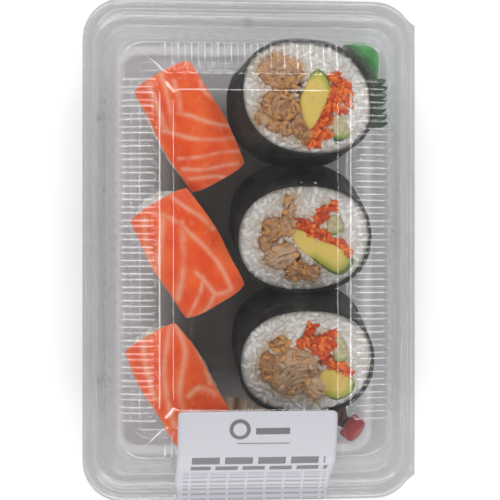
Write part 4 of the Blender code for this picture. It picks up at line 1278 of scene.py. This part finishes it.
# %% [markdown]
# ## The nigiri
# A slab of salmon lies over a pressed block of rice and droops at its left side. The slab is a grid raised
# to the same drape as in the CAD. Its pale fat lines are soft ridges along a few bent paths, each given by
# its width and its places along and across the slab, and they are painted on the points of the grid.

# %% Where the nigiri lie, in millimetres and degrees
NIGIRI = (
    {
        "centre": (-23.7, 47.6),
        "turn": -60.7,
        "slab": (47.5, 26.0),
        "height": 32.0,
        "peek": 0.0,
        "fat": (
            (0.8, (17.5, -10.4), (19.6, -5.4), (21.8, 0.2), (25.4, 3.3)),
            (0.8, (12.9, -10.5), (16.1, -6.1), (18.2, -0.5), (19.7, 4.8), (21.3, 8.7)),
            (0.7, (8.7, -9.9), (11.4, -4.9), (13.2, 0.9), (15.0, 6.7), (17.6, 11.9)),
            (0.9, (-3.9, -10.2), (-0.1, -6.6), (4.4, -2.3), (8.3, 3.7), (12.3, 12.6)),
            (0.9, (-6.6, -1.9), (-3.4, 2.0), (0.8, 5.2), (4.9, 9.7), (6.9, 12.9)),
            (1.0, (-23.5, 0.0), (-16.2, -1.6), (-10.5, -3.5), (-3.1, -6.0)),
            (1.1, (-17.9, 2.8), (-11.9, 1.4), (-6.6, -0.8)),
            (0.9, (-13.4, 12.0), (-9.9, 10.4), (-4.7, 13.0)),
            (1.2, (-22.1, -6.2), (-12.9, -7.8), (-3.3, -8.9)),
        ),
    },
    {
        "centre": (-24.9, -1.2),
        "turn": -59.5,
        "slab": (46.0, 28.0),
        "height": 33.0,
        "peek": 6.8,
        "fat": (
            (1.0, (-19.2, -2.6), (-13.9, 2.1), (-6.3, 4.5), (2.1, 7.1), (10.5, 8.4), (20.0, 7.6)),
            (0.9, (-22.1, 5.5), (-15.1, 8.3), (-9.4, 11.4), (-3.3, 13.1)),
            (1.0, (8.2, -0.9), (12.5, 0.3), (18.8, 1.0)),
            (0.8, (10.6, 0.5), (14.8, -2.9), (19.0, -8.6), (21.8, -12.1)),
            (0.9, (18.8, 1.0), (21.6, -3.0), (24.3, -10.1)),
            (1.3, (-16.1, -1.7), (-8.0, -7.8), (0.9, -13.5)),
            (1.2, (-11.5, 3.8), (-3.4, 0.1), (6.6, -6.3), (13.5, -12.0)),
            (1.1, (-19.6, -7.6), (-10.6, -12.2), (-0.6, -15.0)),
            (0.9, (20.5, 7.3), (20.3, 3.7), (18.9, 1.0)),
        ),
    },
    {
        "centre": (-28.2, -52.6),
        "turn": -60.0,
        "slab": (46.0, 25.5),
        "height": 31.5,
        "peek": 3.6,
        "fat": (
            (1.2, (-26.0, -0.2), (-20.2, -4.4), (-11.1, -7.6), (-1.0, -10.2)),
            (1.1, (-23.5, 10.0), (-15.6, 3.4), (-8.0, -2.3), (1.9, -6.4), (12.0, -9.0)),
            (1.2, (-22.2, 11.0), (-15.6, 10.5), (-9.7, 8.8), (-3.6, 2.8), (4.2, -2.5), (16.0, -5.0)),
            (1.0, (-16.3, 14.1), (-6.3, 13.4), (4.7, 11.2)),
            (1.1, (4.6, 1.6), (3.4, 7.3), (9.1, 10.4)),
            (0.9, (10.0, -1.0), (14.0, 4.0), (21.0, 7.0)),
        ),
    },
)
# Thickness of a slab and height of the floor under the rice, in millimetres.
SLAB = 4.6
FLOOR_Z = 1.3


def nigiri_place(spec):
    corner = Matrix.Translation(Vector((*spec["centre"], FLOOR_Z)) * MM)
    return corner @ Matrix.Rotation(math.radians(spec["turn"]), 4, "Z")


def drape(spec, s, t):
    """Height of the slab's top face in millimetres, s along it and t across it."""
    left = 0.42 * max(0.0, -t - 0.2 * spec["slab"][1]) ** 1.35
    right = 0.2 * max(0.0, t - 0.28 * spec["slab"][1]) ** 1.4
    ends = 0.022 * max(0.0, abs(s) - 11.0) ** 2
    return spec["height"] - left - right - ends + 0.5 * math.sin(0.22 * s + 0.3 * t)


# %% Fat lines
def fat_shown(spec, s, t):
    """How much fat shows at places on the slab: soft ridges along its own bent paths."""
    most = np.zeros(np.shape(s))
    for width, *path in spec["fat"]:
        far = path_distance(rounded(path, 2, False), s, t)
        most = np.maximum(most, np.exp(-((far / width) ** 2)))
    return most


def salmon_flesh(tree):
    broken = tree.speckle(6 * MM, 3.0).between(0.28, 0.58) * 0.65 + 0.35
    line = tree.painted("fat") * broken
    ghost = tree.speckle(3.2 * MM, 2.0, stretch=(1.0, 0.5, 1.0), bend=1.5).between(0.58, 0.72) * 0.16
    tone = tree.speckle(8 * MM, 3.0).between(0.35, 0.7)
    flesh = tree.mix((0.90, 0.080, 0.004), (0.96, 0.140, 0.016), tone)
    fibre = tree.speckle(0.6 * MM, 3.0, rough=0.6)
    flesh = tree.mix(flesh, (0.90, 0.20, 0.055), fibre.between(0.5, 0.8) * 0.3)
    color = tree.mix(flesh, (0.95, 0.46, 0.29), (line * 0.72 + ghost).math("MINIMUM", 0.85))
    color = tree.mix(color, (0.92, 0.34, 0.15), tree.painted("edge") * 0.25)
    wet = tree.bump(fibre * 0.4 - line * 0.6, 0.0003)
    return {"Base Color": color, "Roughness": fibre * 0.25 + 0.28, "Normal": wet}


# %% The slabs
SLAB_CUTS = (120, 78)


def salmon_mesh(number, spec):
    length, width = spec["slab"]
    rows, places, edges = [], [], []
    for along in (-1.0 + 2.0 * i / SLAB_CUTS[0] for i in range(SLAB_CUTS[0] + 1)):
        row = []
        for side in (-1.0 + 2.0 * j / SLAB_CUTS[1] for j in range(SLAB_CUTS[1] + 1)):
            narrow = 1.0 - 0.10 * along**4 + 0.03 * math.sin(5.0 * along + number)
            s = along * length / 2 * (1.0 - 0.06 * side**4)
            t = side * width / 2 * narrow
            z = drape(spec, s, t) + 0.25 * rough(s, t, number * 10.0, 5.0)
            row.append((s * MM, t * MM, z * MM))
            places.append((s, t))
            edges.append(max(abs(along), abs(side)) ** 12)
        rows.append(row)
    mesh = skin("salmon", rows, around=False)
    mesh.flip_normals()
    paint(mesh, fat=fat_shown(spec, *np.array(places).T), edge=edges)
    mesh = modified(mesh, "SOLIDIFY", thickness=SLAB * MM, offset=-1, use_even_offset=True)
    rounding = {"width": 0.7 * MM, "segments": 3, "limit_method": "ANGLE", "angle_limit": math.radians(50)}
    mesh = modified(mesh, "BEVEL", **rounding)
    mesh.transform(nigiri_place(spec))
    return mesh


salmon_finish = finish("salmon_flesh", salmon_flesh, soft=0.10, shine=0.25)
for number, spec in enumerate(NIGIRI, 1):
    food(f"nigiri_{number}", "salmon_slab", salmon_mesh(number, spec), salmon_finish, "salmon")


# %% [markdown]
# ### The nigiri's rice
# The block of rice is squeezed by hand: wide at its foot and tucked in under the slab. The core is a stack
# of rounded rings held just below the fish, and grains cover its sides. Two blocks peek out at one end.

# %% Pressed rice
# Share of the height, how much the ring is shrunk, and by how many millimetres it is grown.
BLOCK_LEVELS = (
    (0.0, 0.82, -0.8),
    (0.0, 1.0, -1.2),
    (0.1, 1.0, 0.0),
    (0.25, 1.0, 0.4),
    (0.45, 1.0, 0.5),
    (0.62, 1.0, 0.4),
    (0.8, 1.0, 0.0),
    (0.93, 1.0, -0.8),
    (1.0, 0.9, 0.0),
    (1.0, 0.6, 0.0),
    (1.0, 0.1, 0.0),
)


def under_slab(spec, s, t):
    slope_s = drape(spec, s + 0.5, t) - drape(spec, s - 0.5, t)
    slope_t = drape(spec, s, t + 0.5) - drape(spec, s, t - 0.5)
    return drape(spec, s, t) - (SLAB + 1.3) * math.sqrt(1.0 + slope_s**2 + slope_t**2)


def rice_block(number, spec):
    length, width = spec["slab"]
    rows, zone = [], []
    for share, shrink, grow in BLOCK_LEVELS:
        row = []
        for s, t in oval((length / 2 - 3.2 + grow, width / 2 - 1.7 + grow), 96, power=2.8) * shrink:
            s -= spec["peek"] * max(0.0, -s / length * 2) ** 2
            t += 2.3 * max(0.0, t / width * 2) ** 2
            bump = 0.5 * rough(s, t, share * 20 + number * 30, 3.0)
            out = 1.0 + bump / max(math.hypot(s, t), 4.0) * (share < 1.0)
            top = under_slab(spec, s, t) - 0.2
            row.append((s * out * MM, t * out * MM, (share * top + 0.3) * MM))
            zone.append(0.02 < share < 0.99)
        rows.append(row)
    mesh = skin("block", rows, caps=2)
    paint(mesh, zone=zone)
    mesh.transform(nigiri_place(spec))
    return mesh


grains = {"Spacing": 1.7 * MM, "Density": 500000.0, "Smallest": 0.8, "Largest": 1.1, "Tilt": 0.25}
for number, spec in enumerate(NIGIRI, 1):
    sizes = {**grains, "Sink": 0.4 * MM, "Seed": 20 + number}
    mesh = scattered(rice_block(number, spec), grain, rice_finish, sizes)
    food(f"nigiri_{number}", "rice_block", mesh, rice_finish, "rice")

# %% [markdown]
# ## Condiments
# In the corners lie a soft green dab, a toothed leaf of thin green plastic, two folded slices of pickled
# ginger and a small bottle of soy sauce with a red cap.

# %% Wasabi
# Share of the outline, and height in millimetres.
DAB_LEVELS = ((0.48, 1.4), (0.58, 3.0), (0.72, 7.0), (0.86, 13.0), (0.97, 20.0), (0.99, 24.0), (0.96, 28.5))
DAB_LEVELS += ((0.88, 31.2), (0.74, 32.6), (0.55, 33.3), (0.3, 33.5), (0.08, 33.4))


def wasabi_mesh():
    inner, outer = [], []
    for step in range(22):
        angle = math.radians(12.0 + 46.0 * step / 21)
        inner.append((21.4 + 28.8 * math.cos(angle), 59.0 + 25.0 * math.sin(angle)))
        angle = math.radians(-8.0 + 98.0 * step / 21)
        outer.append((42.7 + 7.4 * math.cos(angle), 74.0 + 7.0 * math.sin(angle)))
    flat = np.array(outer + inner[::-1])
    middle = flat.mean(0)
    rows = []
    for share, height in DAB_LEVELS:
        row = []
        for x, y in middle + (flat - middle) * share:
            soft = 0.5 * rough(x, y, height, 5.0) * (height > 4.0)
            row.append(((x + soft * 0.4) * MM, (y + soft * 0.4) * MM, (height + soft) * MM))
        rows.append(row)
    return merged([skin("wasabi", rows, caps=2)], weld=True)


def green_paste(tree):
    cloud = tree.speckle(5 * MM, 3.0)
    color = tree.mix((0.035, 0.24, 0.045), (0.085, 0.37, 0.095), cloud.between(0.35, 0.7))
    soft = tree.bump(tree.speckle(2 * MM), 0.0004)
    return {"Base Color": color, "Roughness": cloud * 0.2 + 0.15, "Normal": soft}


wasabi_finish = finish("green_paste", green_paste, soft=0.1, shine=0.3)
piece("wasabi_dab", wasabi_mesh(), wasabi_finish, "tray", "wasabi", "wasabi")


# %% Grass leaf
def leaf_mesh():
    rows = []
    for along in (place / 112 for place in range(113)):
        top = 15.5 + 6.6 * abs(math.sin(along * 7 * math.pi)) ** 0.7
        row = []
        for up in (step / 12 for step in range(13)):
            z = 2.7 + (top - 1.4) * up
            wave = 0.45 * math.sin(along * 11.0) * up
            row.append(((50.4 + 0.21 * z + wave - 1.1) * MM, (48.6 + 19.4 * along) * MM, z * MM))
        rows.append(row)
    return modified(skin("leaf", rows, around=False), "SOLIDIFY", thickness=0.3 * MM, offset=0)


def green_film(tree):
    vein = tree.speckle(1.6 * MM, 2.0, stretch=(1.0, 1.0, 0.15))
    color = tree.mix((0.008, 0.14, 0.018), (0.022, 0.25, 0.04), vein.between(0.35, 0.65))
    return {"Base Color": color, "Roughness": vein * 0.2 + 0.25, "Normal": tree.bump(vein, 0.0003)}


leaf_finish = finish("green_film", green_film)
piece("grass_leaf_sheet", leaf_mesh(), leaf_finish, "tray", "grass_leaf", "grass_leaf")

# %% Ginger
# Centre, width, depth, height, turn in degrees, waves and how far they swing.
GINGER = {
    "ginger_fold": ((-4.4, -68.4), 8.6, 19.0, 12.0, -8.0, 9.0, 0.35),
    "ginger_curl": ((4.1, -67.6), 3.8, 11.0, 12.5, -24.0, 4.0, 0.14),
}


def ginger_mesh(name, centre, width, depth, height, turned_by, waves, swing):
    rows = []
    for share in (step / 60 for step in range(61)):
        x = (share - 0.5) * width
        z = 2.4 + height * (0.35 + swing * math.sin(share * waves) + 0.3 * share)
        row = []
        for edge in np.linspace(-0.5, 0.5, 25):
            ruffle = 0.5 * rough(x, edge * depth, len(name), 3.0)
            row.append(((x + 0.25 * ruffle) * MM, (edge * depth + 0.3 * ruffle) * MM, (z + ruffle) * MM))
        rows.append(row)
    mesh = modified(skin(name, rows, around=False), "SOLIDIFY", thickness=1.0 * MM, offset=0)
    spot = Matrix.Translation(Vector((*centre, 0)) * MM)
    mesh.transform(spot @ Matrix.Rotation(math.radians(turned_by), 4, "Z"))
    return mesh


def pickled_ginger(tree):
    vein = tree.speckle(1.3 * MM, 3.0, stretch=(1.0, 0.25, 1.0))
    color = tree.mix((0.86, 0.62, 0.40), (0.95, 0.80, 0.60), vein.between(0.35, 0.65))
    return {"Base Color": color, "Roughness": vein * 0.2 + 0.2, "Normal": tree.bump(vein, 0.0003)}


ginger_finish = finish("pickled_ginger", pickled_ginger, soft=0.2)
for name, sizes in GINGER.items():
    piece(name + "_slice", ginger_mesh(name, *sizes), ginger_finish, "tray", "ginger", name)

# %% Soy sauce bottle
# Profiles are (radius, height) in millimetres. Only the cap's wide part is ridged.
SOY_FOOT, SOY_UP = Vector((29.0, -60.4, 8.6)) * MM, Vector((0.72, -0.58, 0.38)).normalized()
SOY_BODY = ((0.4, -0.05), (2.6, 0.0), (3.6, 0.35), (4.5, 1.2), (5.0, 3.2), (5.2, 6.0), (5.05, 9.2))
SOY_BODY += ((4.6, 11.0), (3.6, 12.1), (2.7, 12.8), (2.6, 13.6), (2.6, 14.8), (0.4, 14.85))
SOY_CAP = ((0.4, 15.3), (4.7, 15.3), (4.9, 15.7), (4.7, 18.6), (4.6, 20.2), (4.2, 20.9), (3.6, 21.0))
SOY_CAP += ((0.4, 21.0),)
RIDGED_FROM = 4.4


def turned_mesh(profile, sides, ridges=0, ridge=0.0):
    rows = []
    for radius, z in profile:
        row = []
        for angle in (-2 * math.pi * side / sides for side in range(sides)):
            out = radius + ridge * math.cos(ridges * angle) * (radius > RIDGED_FROM)
            row.append((out * math.cos(angle) * MM, out * math.sin(angle) * MM, z * MM))
        rows.append(row)
    mesh = merged([skin("turned", rows, caps=2)], weld=True)
    lean = Vector((0.0, 0.0, 1.0)).rotation_difference(SOY_UP).to_matrix().to_4x4()
    mesh.transform(Matrix.Translation(SOY_FOOT) @ lean)
    return mesh


def soy_sauce(tree):
    cloud = tree.speckle(4 * MM, 2.0)
    color = tree.mix((0.050, 0.013, 0.004), (0.17, 0.050, 0.012), cloud.between(0.35, 0.65))
    return {"Base Color": color, "Roughness": cloud * 0.1 + 0.08, "Normal": tree.bump(cloud, 0.0002)}


def red_cap(tree):
    scuff = tree.speckle(0.8 * MM, 4.0)
    color = tree.mix((0.34, 0.012, 0.015), (0.50, 0.032, 0.036), scuff)
    return {"Base Color": color, "Roughness": scuff * 0.2 + 0.3, "Normal": tree.bump(scuff, 0.0001)}


body_mesh, cap_mesh = turned_mesh(SOY_BODY, 48), turned_mesh(SOY_CAP, 120, 20, 0.22)
piece("soy_bottle", body_mesh, finish("soy_sauce", soy_sauce), "tray", "soy_sauce", "soy_body")
piece("soy_cap_ridged", cap_mesh, finish("red_cap", red_cap, shine=0.3), "tray", "red_cap", "soy_cap")
